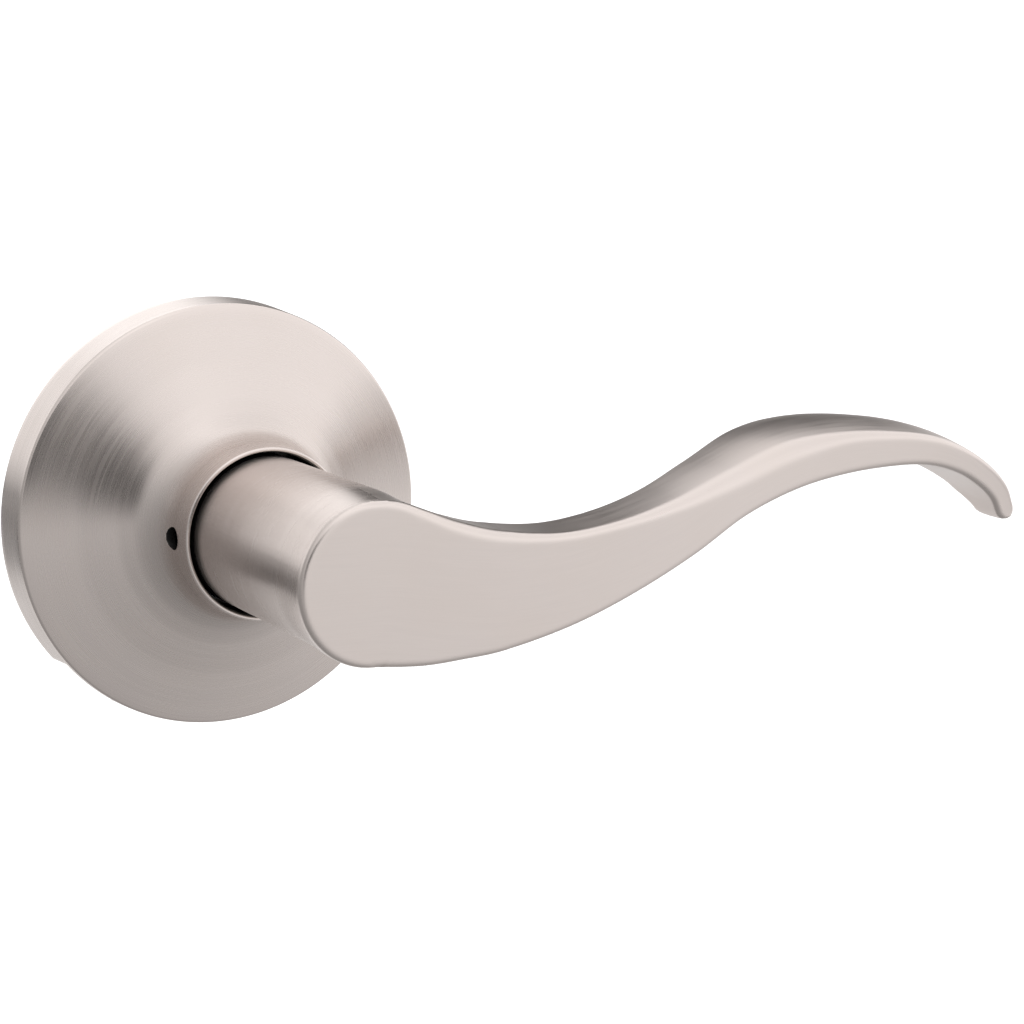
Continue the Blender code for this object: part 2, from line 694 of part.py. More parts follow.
def blade_section(height, depth, crown, edge):
    """A closed outline of (distance behind the face, up): a rounded box with a crowned top."""
    half = height / 2
    upper = min(edge, 0.9 * half, 0.45 * depth)
    lower = min(LOWER_EDGE, 0.9 * half, 0.45 * depth)
    outline = arc((upper, half - upper), upper, 180.0, 90.0, 3)
    outline += [(depth * share, half) for share in (0.3, 0.5, 0.7)]
    outline += arc((depth - upper, half - upper), upper, 90.0, 0.0, 3)
    outline += arc((depth - lower, lower - half), lower, 0.0, -90.0, 3)
    outline += [(depth * share, -half) for share in (0.7, 0.5, 0.3)]
    outline += arc((lower, lower - half), lower, -90.0, -180.0, 3)
    shaped = []
    for back, v in outline:
        bulge = 1.0 - (2.0 * back / depth - 1.0) ** 2
        grown = crown * bulge if v > 0.0 else -0.25 * crown * bulge
        shaped.append((back, v + grown))
    return shaped


def blade_stations():
    """Every section of the blade: its middle, its upward direction, height, depth, crown and edge."""
    stations = []
    first = BLADE_ROWS[0]
    for degrees in HEAD_STATIONS:
        x, half = polar(HEAD_RADIUS, 180.0 - degrees)
        depth = first[3] + (HEAD_SIDE_DEPTH - first[3]) * -x / HEAD_RADIUS
        stations.append(((first[0] + x, first[1]), (0.0, 1.0), 2.0 * half, depth, 0.0, first[5]))
    steps = 2
    last = len(BLADE_ROWS) - 1
    for step in range(steps * last + 1):
        place = step / steps
        x, z, height, depth, crown, edge = catmull(BLADE_ROWS, place)
        ahead = catmull(BLADE_ROWS, min(place + 0.01, last))
        behind = catmull(BLADE_ROWS, max(place - 0.01, 0.0))
        run = Vector((ahead[0] - behind[0], ahead[1] - behind[1])).normalized()
        if x <= UPRIGHT_TO:
            run = Vector((1.0, 0.0))
        stations.append(((x, z), (-run.y, run.x), height, depth, crown, edge))
    (x, z), up, height, depth, crown, edge = stations[-1]
    for degrees in TIP_STATIONS:
        forward = TIP_LENGTH * math.sin(math.radians(degrees))
        shrink = math.cos(math.radians(degrees))
        middle = (x + up[1] * forward, z - up[0] * forward)
        stations.append((middle, up, height * shrink**0.6, depth * shrink**0.8, crown * shrink, edge))
    return stations


def blade_mesh():
    """Sections joined one to the next, with both ends filled."""
    bm = bmesh.new()
    rings = []
    for (x, z), (up_x, up_z), height, depth, crown, edge in blade_stations():
        ring = []
        for back, v in blade_section(height, depth, crown, edge):
            place = at(x + up_x * v, FACE_HEIGHT - back, z + up_z * v)
            ring.append(bm.verts.new(place))
        rings.append(ring)
    for ring, following in zip(rings, rings[1:]):
        for index in range(len(ring)):
            after = (index + 1) % len(ring)
            bm.faces.new((ring[index], ring[after], following[after], following[index]))
    bm.faces.new(rings[0])
    bm.faces.new(rings[-1])
    return bm


def make_lever(lever):
    """The cast lever: the blade, its shank and the stepped bore that takes the spindle tube."""
    handle = mesh_object("lever_handle", blade_mesh(), lever, "satin_nickel", crease=35.0)
    top = FACE_HEIGHT - 1.0
    shank = [(0.0, SHANK_FOOT), (SHANK_RADIUS, SHANK_FOOT), (SHANK_RADIUS, top), (0.0, top)]
    join(handle, turned("lever_shank_tool", shank, segments=48))
    bore = TUBE_RADIUS + GAP
    floor = TUBE_TOP + 0.6
    wide = [(0.0, SHANK_FOOT - 1.0), (SHANK_COUNTERBORE, SHANK_FOOT - 1.0)]
    wide += [(SHANK_COUNTERBORE, SHANK_COUNTERBORE_TOP), (bore, SHANK_COUNTERBORE_TOP)]
    wide += [(bore, TUBE_FLATS_FOOT + GAP), (0.0, TUBE_FLATS_FOOT + GAP)]
    cut(handle, turned("lever_bore_tool", wide, segments=32))
    flat = TUBE_FLATS / 2 + GAP
    reach = math.degrees(math.asin(flat / bore))
    keyed = arc((0, 0), bore, -reach, reach, 9) + arc((0, 0), bore, 180.0 - reach, 180.0 + reach, 9)
    cut(handle, prism("lever_keyed_bore_tool", keyed, TUBE_FLATS_FOOT - 1.0, floor))
    catch_axis = ((-SHANK_RADIUS - 2.0, CATCH_HEIGHT, 0), (2.0 - SHANK_COUNTERBORE, CATCH_HEIGHT, 0))
    cut(handle, rod("lever_catch_hole_tool", *catch_axis, CATCH_HOLE_RADIUS))


def main():
    clear_scene()
    trim = joint_empty("trim")
    lever = joint_empty("lever", parent=trim)
    catch = joint_empty("catch", at(0.0, CATCH_HEIGHT, 0.0), lever)
    make_rose(trim)
    make_rose_clips(trim)
    make_plate(trim)
    make_posts(trim)
    make_cage(trim)
    make_rivets(trim)
    make_bushings(trim)
    make_return_spring(trim)
    make_cam(lever)
    make_tube(lever)
    make_spindle(lever)
    make_rear_rings(lever)
    make_catch(catch)
    make_catch_spring(lever)
    make_lever(lever)


main()
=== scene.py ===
"""Looks of a wave-shaped door lever on its round rose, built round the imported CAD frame.

The door's face is the plane y = 0. The lever turns about the Y axis and stands out towards -Y, its tip
points along +X, and +Z is up. A height is a distance out from the door's face, so a point at height h has
y = -h. Sizes are in millimetres and become metres when a mesh is made.
"""

import json
import math

import bmesh
import bpy
import numpy as np
from mathutils import Matrix, Quaternion, Vector
from mathutils.bvhtree import BVHTree


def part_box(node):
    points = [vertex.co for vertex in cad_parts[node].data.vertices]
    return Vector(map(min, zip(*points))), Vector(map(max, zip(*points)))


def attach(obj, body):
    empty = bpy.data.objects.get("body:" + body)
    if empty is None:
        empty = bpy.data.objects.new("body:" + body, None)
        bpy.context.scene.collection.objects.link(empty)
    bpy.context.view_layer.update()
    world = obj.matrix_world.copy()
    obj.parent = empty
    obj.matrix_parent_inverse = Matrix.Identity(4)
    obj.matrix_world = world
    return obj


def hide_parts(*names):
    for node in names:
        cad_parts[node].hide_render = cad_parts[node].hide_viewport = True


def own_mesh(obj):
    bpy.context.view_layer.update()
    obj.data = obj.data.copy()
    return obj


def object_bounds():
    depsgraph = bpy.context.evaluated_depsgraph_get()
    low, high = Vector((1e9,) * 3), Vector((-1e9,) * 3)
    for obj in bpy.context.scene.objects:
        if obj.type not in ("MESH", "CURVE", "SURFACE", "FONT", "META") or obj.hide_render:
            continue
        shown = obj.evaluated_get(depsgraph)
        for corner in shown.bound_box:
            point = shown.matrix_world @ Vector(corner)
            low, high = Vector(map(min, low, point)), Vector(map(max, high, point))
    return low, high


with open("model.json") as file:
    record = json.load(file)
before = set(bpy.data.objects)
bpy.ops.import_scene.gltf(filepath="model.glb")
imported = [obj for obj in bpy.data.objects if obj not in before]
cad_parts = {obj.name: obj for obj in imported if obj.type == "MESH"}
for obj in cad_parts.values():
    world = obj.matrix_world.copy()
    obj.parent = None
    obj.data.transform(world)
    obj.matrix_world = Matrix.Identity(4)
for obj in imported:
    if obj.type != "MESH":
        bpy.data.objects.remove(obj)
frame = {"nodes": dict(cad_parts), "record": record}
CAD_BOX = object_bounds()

MM = 0.001
CREASE = 35.0  # edges sharper than this many degrees stay sharp


def box_mm(node):
    low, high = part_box(node)
    return low / MM, high / MM


ROSE_LOW, ROSE_HIGH = box_mm("rose_cover")
LEVER_LOW, LEVER_HIGH = box_mm("lever_handle")
CATCH_LOW, CATCH_HIGH = box_mm("lever_catch")

# Rose
ROSE_RADIUS = ROSE_HIGH.x
NECK_HEIGHT = -ROSE_LOW.y
ROSE_WALL = 1.0
SKIRT_TAPER = 0.45
SKIRT_TOP = 6.85
FACE_BEND = (24.2, 9.3)  # radius and height where the coned face dips a little
NECK_FLARE = ((18.8, 11.25), (16.0, 12.6), (14.3, 14.4), (13.2, 17.2))
NECK_RADIUS = 13.0
NECK_BORE = 12.2
NECK_BORE_FOOT = 15.6
BELL_INSIDE = (14.8, 11.5)  # radius and height inside, where the bore opens out behind the face
MOUTH = 0.25  # how much wider the bore is at its mouth
NOTCH_ANGLE = 229.0
NOTCH_WIDTH = 12.0
NOTCH_HEIGHT = 5.4
CATCH_HEIGHT = -(CATCH_LOW.y + CATCH_HIGH.y) / 2
TOOL_HOLE_RADIUS = 1.7

# Lever
FACE_HEIGHT = -LEVER_LOW.y
SHANK_FOOT = -LEVER_HIGH.y
SHANK_RADIUS = 11.6
HEAD_RADIUS = 11.5
HEAD_CENTRE = (-0.25, -0.45)
HEAD_BLEND = 9.0  # how far below the face the shank starts to run into the head
RIM_EDGE = 0.8
LOWER_EDGE = 0.9
TIP_LENGTH = 1.78
UPRIGHT_TO = 20.0
COUNTERBORE_RADIUS = 9.6
COUNTERBORE_TOP = 20.6
BORE_RADIUS = 7.0
BORE_TOP = 46.6
CATCH_HOLE_RADIUS = 2.0
# The blade's middle line and section: x, z, height of the face, depth behind the face, crown of the
# top, radius of the upper edges.
BLADE_ROWS = (
    (-1.5, -0.45, 22.8, 6.0, 0.0, 0.8),
    (1.0, -0.59, 23.12, 6.5, 0.0, 0.9),
    (4.0, -1.07, 22.94, 7.3, 0.0, 1.1),
    (8.0, -2.02, 21.64, 8.4, 0.0, 1.5),
    (13.0, -3.0, 19.49, 9.1, 0.0, 1.7),
    (20.0, -3.82, 17.04, 9.6, 0.0, 1.5),
    (30.0, -3.37, 13.84, 9.4, 0.0, 1.1),
    (40.0, -1.37, 11.24, 9.8, 0.1, 1.0),
    (50.0, 1.73, 8.94, 11.6, 0.4, 1.5),
    (60.0, 5.83, 6.84, 14.6, 0.9, 2.2),
    (70.0, 8.93, 6.54, 17.6, 1.4, 2.2),
    (80.0, 10.13, 5.94, 19.2, 1.6, 1.3),
    (90.0, 9.93, 4.94, 18.0, 1.5, 0.9),
    (97.0, 8.95, 4.3, 15.4, 1.2, 0.8),
    (103.0, 6.8, 3.8, 12.4, 0.9, 0.8),
    (107.6, 4.0, 3.6, 10.6, 0.7, 0.8),
    (110.5, 1.3, 3.5, 9.4, 0.4, 0.8),
    (111.8, -1.3, 3.3, 6.6, 0.2, 0.8),
)
BLADE_STEPS = 10  # sections between two rows
SKIN_VOXEL = 0.34
SKIN_CREASE = 80.0
CREASE_REACH = 1.6  # how far from both surfaces the join between shank and blade is softened
CREASE_ROUNDS = 40
AT_ONCE = 20000  # points of the skin whose place along the blade is looked up together

# Behind the rose
PLATE_LOW, PLATE_HIGH = box_mm("mounting_plate")
POST_LOW, POST_HIGH = box_mm("mounting_post_right")
RIVET_LOW, RIVET_HIGH = box_mm("cage_rivet_1")
BUSHING_LOW, BUSHING_HIGH = box_mm("rear_bushing")
WASHER_LOW, WASHER_HIGH = box_mm("thrust_washer")
WAVE_LOW, WAVE_HIGH = box_mm("wave_washer")
RING_LOW, RING_HIGH = box_mm("retaining_ring")
TUBE_LOW, TUBE_HIGH = box_mm("spindle_tube")
SPINDLE_LOW, SPINDLE_HIGH = box_mm("spindle")
SPRING_LOW, SPRING_HIGH = box_mm("catch_spring")
CLEARANCE = 0.3
PLATE_THICKNESS = 1.6
PLATE_WALL = 1.2
PLATE_BORE = 8.5
PLATE_RECESS = 0.4
PLATE_RECESS_RADIUS = 25.6
POST_X = (POST_LOW.x + POST_HIGH.x) / 2
POST_RADIUS = 3.8
POST_NECK_RADIUS = 2.8
POST_HEAD_FOOT = 1.9
POST_THREAD_DEPTH = 15.0
THREAD_RADIUS = 1.75
THREAD_PITCH = 0.7
THREAD_CUT = 0.16
RIVET_PLACE = ((RIVET_LOW.x + RIVET_HIGH.x) / 2, (RIVET_LOW.z + RIVET_HIGH.z) / 2)
RIVET_RADIUS = 1.4
RIVET_TAIL_RADIUS = 2.2
RIVET_BACK = 0.1
RIVET_FRONT = 3.2
TUBE_BORE = 5.3
TUBE_GROOVE = (3.1, 4.7)  # distances behind the door's face
TUBE_GROOVE_DEPTH = 0.7
TUBE_FLAT = 5.9
TUBE_FLAT_FOOT = 32.0
WASHER_BORE = 7.1
WAVE_THICKNESS = 0.3
WAVES = 3
RING_BORE = 6.3
RING_OPENING = 52.0
RING_EYE = 0.55
SPINDLE_CORNER = 0.5
SPINDLE_LEAD = 0.8  # length of the chamfer at each end
CATCH_PAD = 1.0  # thickness
CATCH_BUTTON_RADIUS = 1.7
SPRING_WIRE = 0.25
SPRING_TURNS = 7

# Looks
NICKEL = (0.645, 0.58, 0.55)
WARMER = (1.0, 0.985, 0.96)  # what the faint clouds in the plating do to its colour
NOISE_SPREAD = (0.3, 0.7)  # nearly all values of a noise lie in here
CLOUD_SPREAD = (0.35, 0.65)
RELIEF = 0.00002  # depth of the finest grooves and grains, in metres
FINE_LINES = 5200.0  # brushed lines per metre, more or less
FINE_LOOP = 1.3  # radius, in cells of the noise, of the loop that a round line follows
COARSER = 5.0
RUBBED_AND_HIGHLIT = 0.5  # how much of its brighter colour, wear plus a painted highlight, a rubbed edge takes

# Camera and surroundings
CAMERA_TARGET = (55.2, 0.0, -6.3)
CAMERA_DISTANCE = 386.7
CAMERA_AZIMUTH = -30.66
CAMERA_ELEVATION = 11.48
CAMERA_LENS = 80.9
FLOOR_DROP = 130.0
FLOOR_RADIUS = 3000.0
COVE_RADIUS = 900.0
WALL_HEIGHT = 3500.0
FLOOR_PALENESS = 0.9
FLOOR_GLOW = 0.35
# The axis that the light from all round is shaped about (azimuth from -Y towards +X, and elevation), and its
# brightness at each cosine of the angle from that axis.
SKY_AXIS = (60.0, 50.0)
SKY = ((-1.0, 0.33), (-0.6, 0.4), (-0.3, 0.49), (0.0, 0.67))
SKY += ((0.35, 0.97), (0.6, 1.17), (0.8, 1.42), (1.0, 1.12))
MIDDLE = (CAD_BOX[0] + CAD_BOX[1]) / 2
# Boards seen only in reflections, placed round the middle of the CAD's box: name, azimuth and elevation in
# degrees, distance, width and height in degrees, tilt in degrees, brightness.
BOARDS = (
    ("pale_back", -169, 32, 200, (56, 50), 0, 1.68),
    ("pale_back_left", -142, 20, 700, (66, 46), 0, 1.28),
    ("pale_back_low", 175, -38, 700, (110, 62), 0, 0.95),
    ("pale_low_left", -143.5, -14, 250, (22, 17), 0, 1.15),
    ("dark_front_left", -22, 8, 700, (50, 34), 0, 0.0),
    ("dark_right", 62, -1, 700, (44, 28), 0, 0.7),
    ("dark_back_right", 140, 22, 700, (54, 50), -20, 0.0),
    ("dark_back_left", -153, 0, 190, (60, 4), 0, 0.15),
    ("dark_back_low", -134, -12, 240, (18, 20), 0, 0.0),
)
BOARD_FULL = 0.45  # share of a board's half size, from where it fades out towards its edge
OVERHEAD = (20.0, 70.0)  # azimuth and elevation of the lamp
OVERHEAD_DISTANCE = 900.0
OVERHEAD_SIZE = (700.0, 500.0)
OVERHEAD_POWER = 3.0  # W


def half_width(low, high):
    return (high.x - low.x) / 2


def at(x, height, z):
    return Vector((x, -height, z)) * MM


def polar(radius, degrees):
    angle = math.radians(degrees)
    return radius * math.cos(angle), radius * math.sin(angle)


def arc(centre, radius, start, end, steps):
    points = []
    for step in range(steps + 1):
        x, y = polar(radius, start + (end - start) * step / steps)
        points.append((centre[0] + x, centre[1] + y))
    return points


def rounded(corners, steps=6):
    """A closed outline from (radius, height, rounding) corners, each rounded by an arc."""
    points = []
    count = len(corners)
    for index, (x, y, rounding) in enumerate(corners):
        here = Vector((x, y))
        before = Vector(corners[index - 1][:2]) - here
        after = Vector(corners[(index + 1) % count][:2]) - here
        half = before.angle(after) / 2
        if rounding <= 0.0 or half > 0.499 * math.pi:
            points.append((x, y))
            continue
        back = min(rounding / math.tan(half), 0.49 * before.length, 0.49 * after.length)
        radius = back * math.tan(half)
        centre = here + (before.normalized() + after.normalized()).normalized() * (radius / math.sin(half))
        start = here + before.normalized() * back - centre
        end = here + after.normalized() * back - centre
        turn = start.angle_signed(end)
        for step in range(steps + 1):
            spoke = start.copy()
            spoke.rotate(Matrix.Rotation(-turn * step / steps, 2))
            points.append(tuple(centre + spoke))
    return points


def linked(name, data):
    obj = bpy.data.objects.new(name, data)
    bpy.context.scene.collection.objects.link(obj)
    return obj


def smooth_shaded(mesh, crease):
    mesh.shade_smooth()
    mesh.set_sharp_from_angle(angle=math.radians(crease))
    return mesh


def mesh_object(name, bm, crease=CREASE):
    bmesh.ops.recalc_face_normals(bm, faces=bm.faces)
    mesh = bpy.data.meshes.new(name)
    bm.to_mesh(mesh)
    bm.free()
    return linked(name, smooth_shaded(mesh, crease))


def turned(name, outline, segments=192, crease=CREASE, shape=None):
    """Spins a closed outline of (radius, height) points about Y, which shape may change on the way."""
    bm = bmesh.new()
    rings = []
    for radius, height in outline:
        if radius < 1e-6:
            rings.append([bm.verts.new(at(0.0, height, 0.0))] * segments)
            continue
        ring = []
        for step in range(segments):
            degrees = 360.0 * step / segments
            out, up = shape(radius, height, degrees) if shape else (radius, height)
            x, z = polar(out, degrees)
            ring.append(bm.verts.new(at(x, up, z)))
        rings.append(ring)
    for ring, following in zip(rings, rings[1:] + rings[:1]):
        for step in range(segments):
            after = (step + 1) % segments
            corners = dict.fromkeys((ring[step], ring[after], following[after], following[step]))
            if len(corners) > 2:
                bm.faces.new(list(corners))
    return mesh_object(name, bm, crease)


def rod(name, start, end, radius, segments=64):
    """A round bar between two points given as (x, height, z)."""
    foot = at(*start)
    run = at(*end) - foot
    bm = bmesh.new()
    turn = run.to_track_quat("Z", "Y").to_matrix().to_4x4()
    place = Matrix.Translation(foot + run / 2) @ turn
    ends = {"radius1": radius * MM, "radius2": radius * MM, "cap_ends": True}
    bmesh.ops.create_cone(bm, segments=segments, depth=run.length, matrix=place, **ends)
    return mesh_object(name, bm)


def shift(obj, x, height, z):
    obj.data.transform(Matrix.Translation(at(x, height, z)))


def cross_drill(name, start, end, radius):
    """A round cutter along X at the catch's height."""
    return rod(name, (start, CATCH_HEIGHT, 0.0), (end, CATCH_HEIGHT, 0.0), radius)


def prism(name, outline, back, front):
    """Extrudes an outline of (x, z) points from one height to another."""
    bm = bmesh.new()
    bridge(bm, [[bm.verts.new(at(x, height, z)) for x, z in outline] for height in (back, front)])
    return mesh_object(name, bm)


def block(name, low, high):
    bm = bmesh.new()
    bmesh.ops.create_cube(bm, size=1.0)
    size = Vector(high) - Vector(low)
    middle = (Vector(high) + Vector(low)) / 2
    bmesh.ops.scale(bm, verts=bm.verts, vec=size * MM)
    bmesh.ops.translate(bm, verts=bm.verts, vec=middle * MM)
    return mesh_object(name, bm)


def bridge(bm, rings, ends=True):
    """Joins rings of points one after the other and, if asked, closes both ends."""
    for ring, following in zip(rings, rings[1:]):
        for index in range(len(ring)):
            after = (index + 1) % len(ring)
            bm.faces.new((ring[index], ring[after], following[after], following[index]))
    if ends:
        bm.faces.new(rings[0])
        bm.faces.new(rings[-1])


def settle(obj, crease=CREASE):
    """Turns an object's modifiers into its own mesh."""
    bpy.context.view_layer.update()
    graph = bpy.context.evaluated_depsgraph_get()
    mesh = bpy.data.meshes.new_from_object(obj.evaluated_get(graph), depsgraph=graph)
    obj.modifiers.clear()
    obj.data = smooth_shaded(mesh, crease)
    return obj


def boolean(obj, tools, operation="DIFFERENCE", crease=CREASE):
    for tool in tools:
        step = obj.modifiers.new(tool.name, "BOOLEAN")
        step.operation = operation
        step.object = tool
    settle(obj, crease)
    for tool in tools:
        bpy.data.objects.remove(tool)


def whole_numbers(items, key, width=1):
    values = np.empty(len(items) * width, np.int32)
    items.foreach_get(key, values)
    return values


def vectors(items, key):
    values = np.empty(len(items) * 3, np.float32)
    items.foreach_get(key, values)
    return values.reshape(-1, 3).astype(float)


def mark_edges(obj, rounding=0.9):
    """Stores how convex the surface is at each vertex, as 0 to 1, for rubbed edges with a painted highlight.
    """
    mesh = obj.data
    points = vectors(mesh.vertices, "co")
    normals = vectors(mesh.vertices, "normal")
    a, b = whole_numbers(mesh.edges, "vertices", 2).reshape(-1, 2).T
    step = points[b] - points[a]
    length = np.maximum((step * step).sum(axis=1), 1e-12)
    bend = ((normals[b] - normals[a]) * step).sum(axis=1) / length
    total = np.zeros(len(points))
    count = np.zeros(len(points))
    for end in (a, b):
        np.add.at(total, end, bend)
        np.add.at(count, end, 1.0)
    sharpness = total / np.maximum(count, 1.0) * rounding * MM
    value = np.clip(sharpness, 0.0, 1.0).astype(np.float32)
    worn_and_highlit = mesh.attributes.new("worn_and_highlit", "FLOAT", "POINT")
    worn_and_highlit.data.foreach_set("value", value)
    return obj


# ---- Rose


def rose_outline():
    lip = (NECK_RADIUS - NECK_BORE - MOUTH) / 2
    outside = [
        (ROSE_RADIUS, 0.0, 0.2),
        (ROSE_RADIUS - SKIRT_TAPER, SKIRT_TOP, 0.6),
        (*FACE_BEND, 30.0),
        *((radius, height, 12.0) for radius, height in NECK_FLARE),
        (NECK_RADIUS, NECK_HEIGHT, lip),
    ]
    inside = [
        (NECK_BORE + MOUTH, NECK_HEIGHT, lip),
        (NECK_BORE, NECK_HEIGHT - 3.0 * MOUTH, 0.5),
        (NECK_BORE, NECK_BORE_FOOT, 2.0),
        (*BELL_INSIDE, 2.5),
        (FACE_BEND[0] - 0.4, FACE_BEND[1] - ROSE_WALL, 20.0),
        (ROSE_RADIUS - SKIRT_TAPER - ROSE_WALL, SKIRT_TOP - 1.2, 0.6),
        (ROSE_RADIUS - ROSE_WALL, 0.0, 0.2),
    ]
    return rounded(outside + inside, 8)


def refine(outline, longest):
    """Adds points so that no step of a closed outline is longer than this."""
    points = []
    for here, ahead in zip(outline, outline[1:] + outline[:1]):
        pieces = max(1, math.ceil(math.dist(here, ahead) / longest))
        for piece in range(pieces):
            share = piece / pieces
            points.append(tuple(a + (b - a) * share for a, b in zip(here, ahead)))
    return points


def make_rose():
    rose = turned("rose_shell", refine(rose_outline(), 1.2), segments=288)
    half = NOTCH_WIDTH / 2
    notch = block("notch_tool", (ROSE_RADIUS - 4.0, -NOTCH_HEIGHT, -half), (ROSE_RADIUS + 2.0, 1.0, half))
    notch.rotation_euler.y = -math.radians(NOTCH_ANGLE)
    hole = cross_drill("hole_tool", -NECK_RADIUS - 3.0, 2.0 - NECK_BORE, TOOL_HOLE_RADIUS)
    boolean(rose, [notch, hole])
    bevel_edges(rose, 0.12)
    inside_slot(rose)
    return mark_edges(rose)


def bevel_edges(obj, width, angle=50.0):
    """Breaks the edges that are sharper than this many degrees."""
    step = obj.modifiers.new("edges", "BEVEL")
    step.limit_method = "ANGLE"
    step.angle_limit = math.radians(angle)
    step.width = width * MM
    step.segments = 2
    settle(obj)


def inside_slot(rose):
    """The neck's bore and tool hole take the second material, a painted near-black shade; other inner faces
    the third.
    """
    for face in rose.data.polygons:
        x, y, z = face.center
        radius = math.hypot(x, z)
        outward = (face.normal.x * x + face.normal.z * z) / max(radius, 1e-9)
        deep = radius < (NECK_BORE + 0.25) * MM and -y < (NECK_HEIGHT - 0.5) * MM
        in_hole = x < 0.0 and math.hypot(z, y + CATCH_HEIGHT * MM) < (TOOL_HOLE_RADIUS + 0.02) * MM
        # Painted shade: the bore and the tool hole take the near-black second material.
        if deep or in_hole:
            face.material_index = 1
        elif outward < -0.5 or face.normal.y > 0.3:
            face.material_index = 2


# ---- Lever


def catmull(rows, place):
    """A smooth reading of every column between the rows, at a place counted in rows."""
    index = min(int(place), len(rows) - 2)
    share = place - index
    last = len(rows) - 1
    a, b, c, d = (np.array(rows[max(0, min(last, index + offset))]) for offset in (-1, 0, 1, 2))
    square = share * share
    cube = square * share
    slope_b = (c - a) / 2
    slope_c = (d - b) / 2
    return (
        b * (2 * cube - 3 * square + 1)
        + slope_b * (cube - 2 * square + share)
        + c * (3 * square - 2 * cube)
        + slope_c * (cube - square)
    )


def blade_section(height, depth, crown, edge):
    """A closed outline of (distance behind the face, up): a rounded box with a crowned top."""
    half = height / 2
    upper = min(edge, 0.9 * half, 0.45 * depth)
    lower = min(LOWER_EDGE, 0.9 * half, 0.45 * depth)
    across = [step / 10 for step in range(1, 10)]
    outline = arc((upper, half - upper), upper, 180.0, 90.0, 8)
    outline += [(upper + (depth - 2 * upper) * share, half) for share in across]
    outline += arc((depth - upper, half - upper), upper, 90.0, 0.0, 8)
    outline += [(depth, half - upper + (lower + upper - height) * share) for share in across]
    outline += arc((depth - lower, lower - half), lower, 0.0, -90.0, 8)
    outline += [(depth - lower + (2 * lower - depth) * share, -half) for share in across]
    outline += arc((lower, lower - half), lower, -90.0, -180.0, 8)
    outline += [(0.0, lower - half + (height - lower - upper) * share) for share in across]
    shaped = []
    for back, v in outline:
        bulge = 1.0 - (2.0 * back / depth - 1.0) ** 2
        grown = crown * bulge if v > 0.0 else -0.25 * crown * bulge
        shaped.append((back, v + grown))
    return shaped


def middle_line():
    """Points (x, z) along the middle of the blade, evenly in rows."""
    last = len(BLADE_ROWS) - 1
    return [catmull(BLADE_ROWS, step / 20)[:2] for step in range(20 * last + 1)]


def blade_stations():
    """Every section of the blade: its middle, its upward direction, height, depth, crown and edge."""
    stations = []
    last = len(BLADE_ROWS) - 1
    for step in range(BLADE_STEPS * last + 1):
        place = step / BLADE_STEPS
        x, z, height, depth, crown, edge = catmull(BLADE_ROWS, place)
        ahead = catmull(BLADE_ROWS, min(place + 0.01, last))
        behind = catmull(BLADE_ROWS, max(place - 0.01, 0.0))
        run = Vector((ahead[0] - behind[0], ahead[1] - behind[1])).normalized()
        if x <= UPRIGHT_TO:
            run = Vector((1.0, 0.0))
        stations.append(((x, z), (-run.y, run.x), height, depth, crown, edge))
    (x, z), up, height, depth, crown, edge = stations[-1]
    for degrees in range(10, 86, 5):
        forward = TIP_LENGTH * math.sin(math.radians(degrees))
        shrink = math.cos(math.radians(degrees))
        middle = (x + up[1] * forward, z - up[0] * forward)
        stations.append((middle, up, height * shrink**0.6, depth * shrink**0.8, crown * shrink, edge))
    return stations


def blade_mesh():
    bm = bmesh.new()
    rings = []
    for (x, z), (up_x, up_z), height, depth, crown, edge in blade_stations():
        ring = []
        for back, v in blade_section(height, depth, crown, edge):
            ring.append(bm.verts.new(at(x + up_x * v, FACE_HEIGHT - back, z + up_z * v)))
        rings.append(ring)
    bridge(bm, rings)
    return bm


def head_solid():
    """The round end of the face, which the shank leans and narrows into."""
    top = FACE_HEIGHT
    foot = FACE_HEIGHT - HEAD_BLEND
    corners = [(0.0, foot, 0.0), (SHANK_RADIUS, foot, 0.0), (HEAD_RADIUS, top, RIM_EDGE), (0.0, top, 0.0)]
    head = turned("head_tool", refine(rounded(corners, 8), 1.0))
    lean = at(HEAD_CENTRE[0], 0.0, HEAD_CENTRE[1])
    for vert in head.data.vertices:
        share = (-vert.co.y / MM - foot) / HEAD_BLEND
        vert.co += lean * share * share * (3.0 - 2.0 * share)
    return head


def shank_solid():
    top = FACE_HEIGHT - HEAD_BLEND + 0.3
    corners = [(0.0, SHANK_FOOT, 0.0), (SHANK_RADIUS, SHANK_FOOT, 0.4)]
    corners += [(SHANK_RADIUS, top, 0.0), (0.0, top, 0.0)]
    return turned("shank_tool", refine(rounded(corners), 1.0))


def joined(name, objects):
    """One mesh of several closed shells that overlap."""
    bm = bmesh.new()
    for obj in objects:
        bpy.context.view_layer.update()
        mesh = obj.data.copy()
        mesh.transform(obj.matrix_world)
        bm.from_mesh(mesh)
        bpy.data.objects.remove(obj)
    return mesh_object(name, bm)


def skin(shells, name):
    """One even skin round the shells, drawn tight onto them."""
    body = linked(name, shells.data.copy())
    remesh = body.modifiers.new("skin", "REMESH")
    remesh.mode = "VOXEL"
    remesh.voxel_size = SKIN_VOXEL * MM
    wrap = body.modifiers.new("tight", "SHRINKWRAP")
    wrap.target = shells
    return settle(body, SKIN_CREASE)


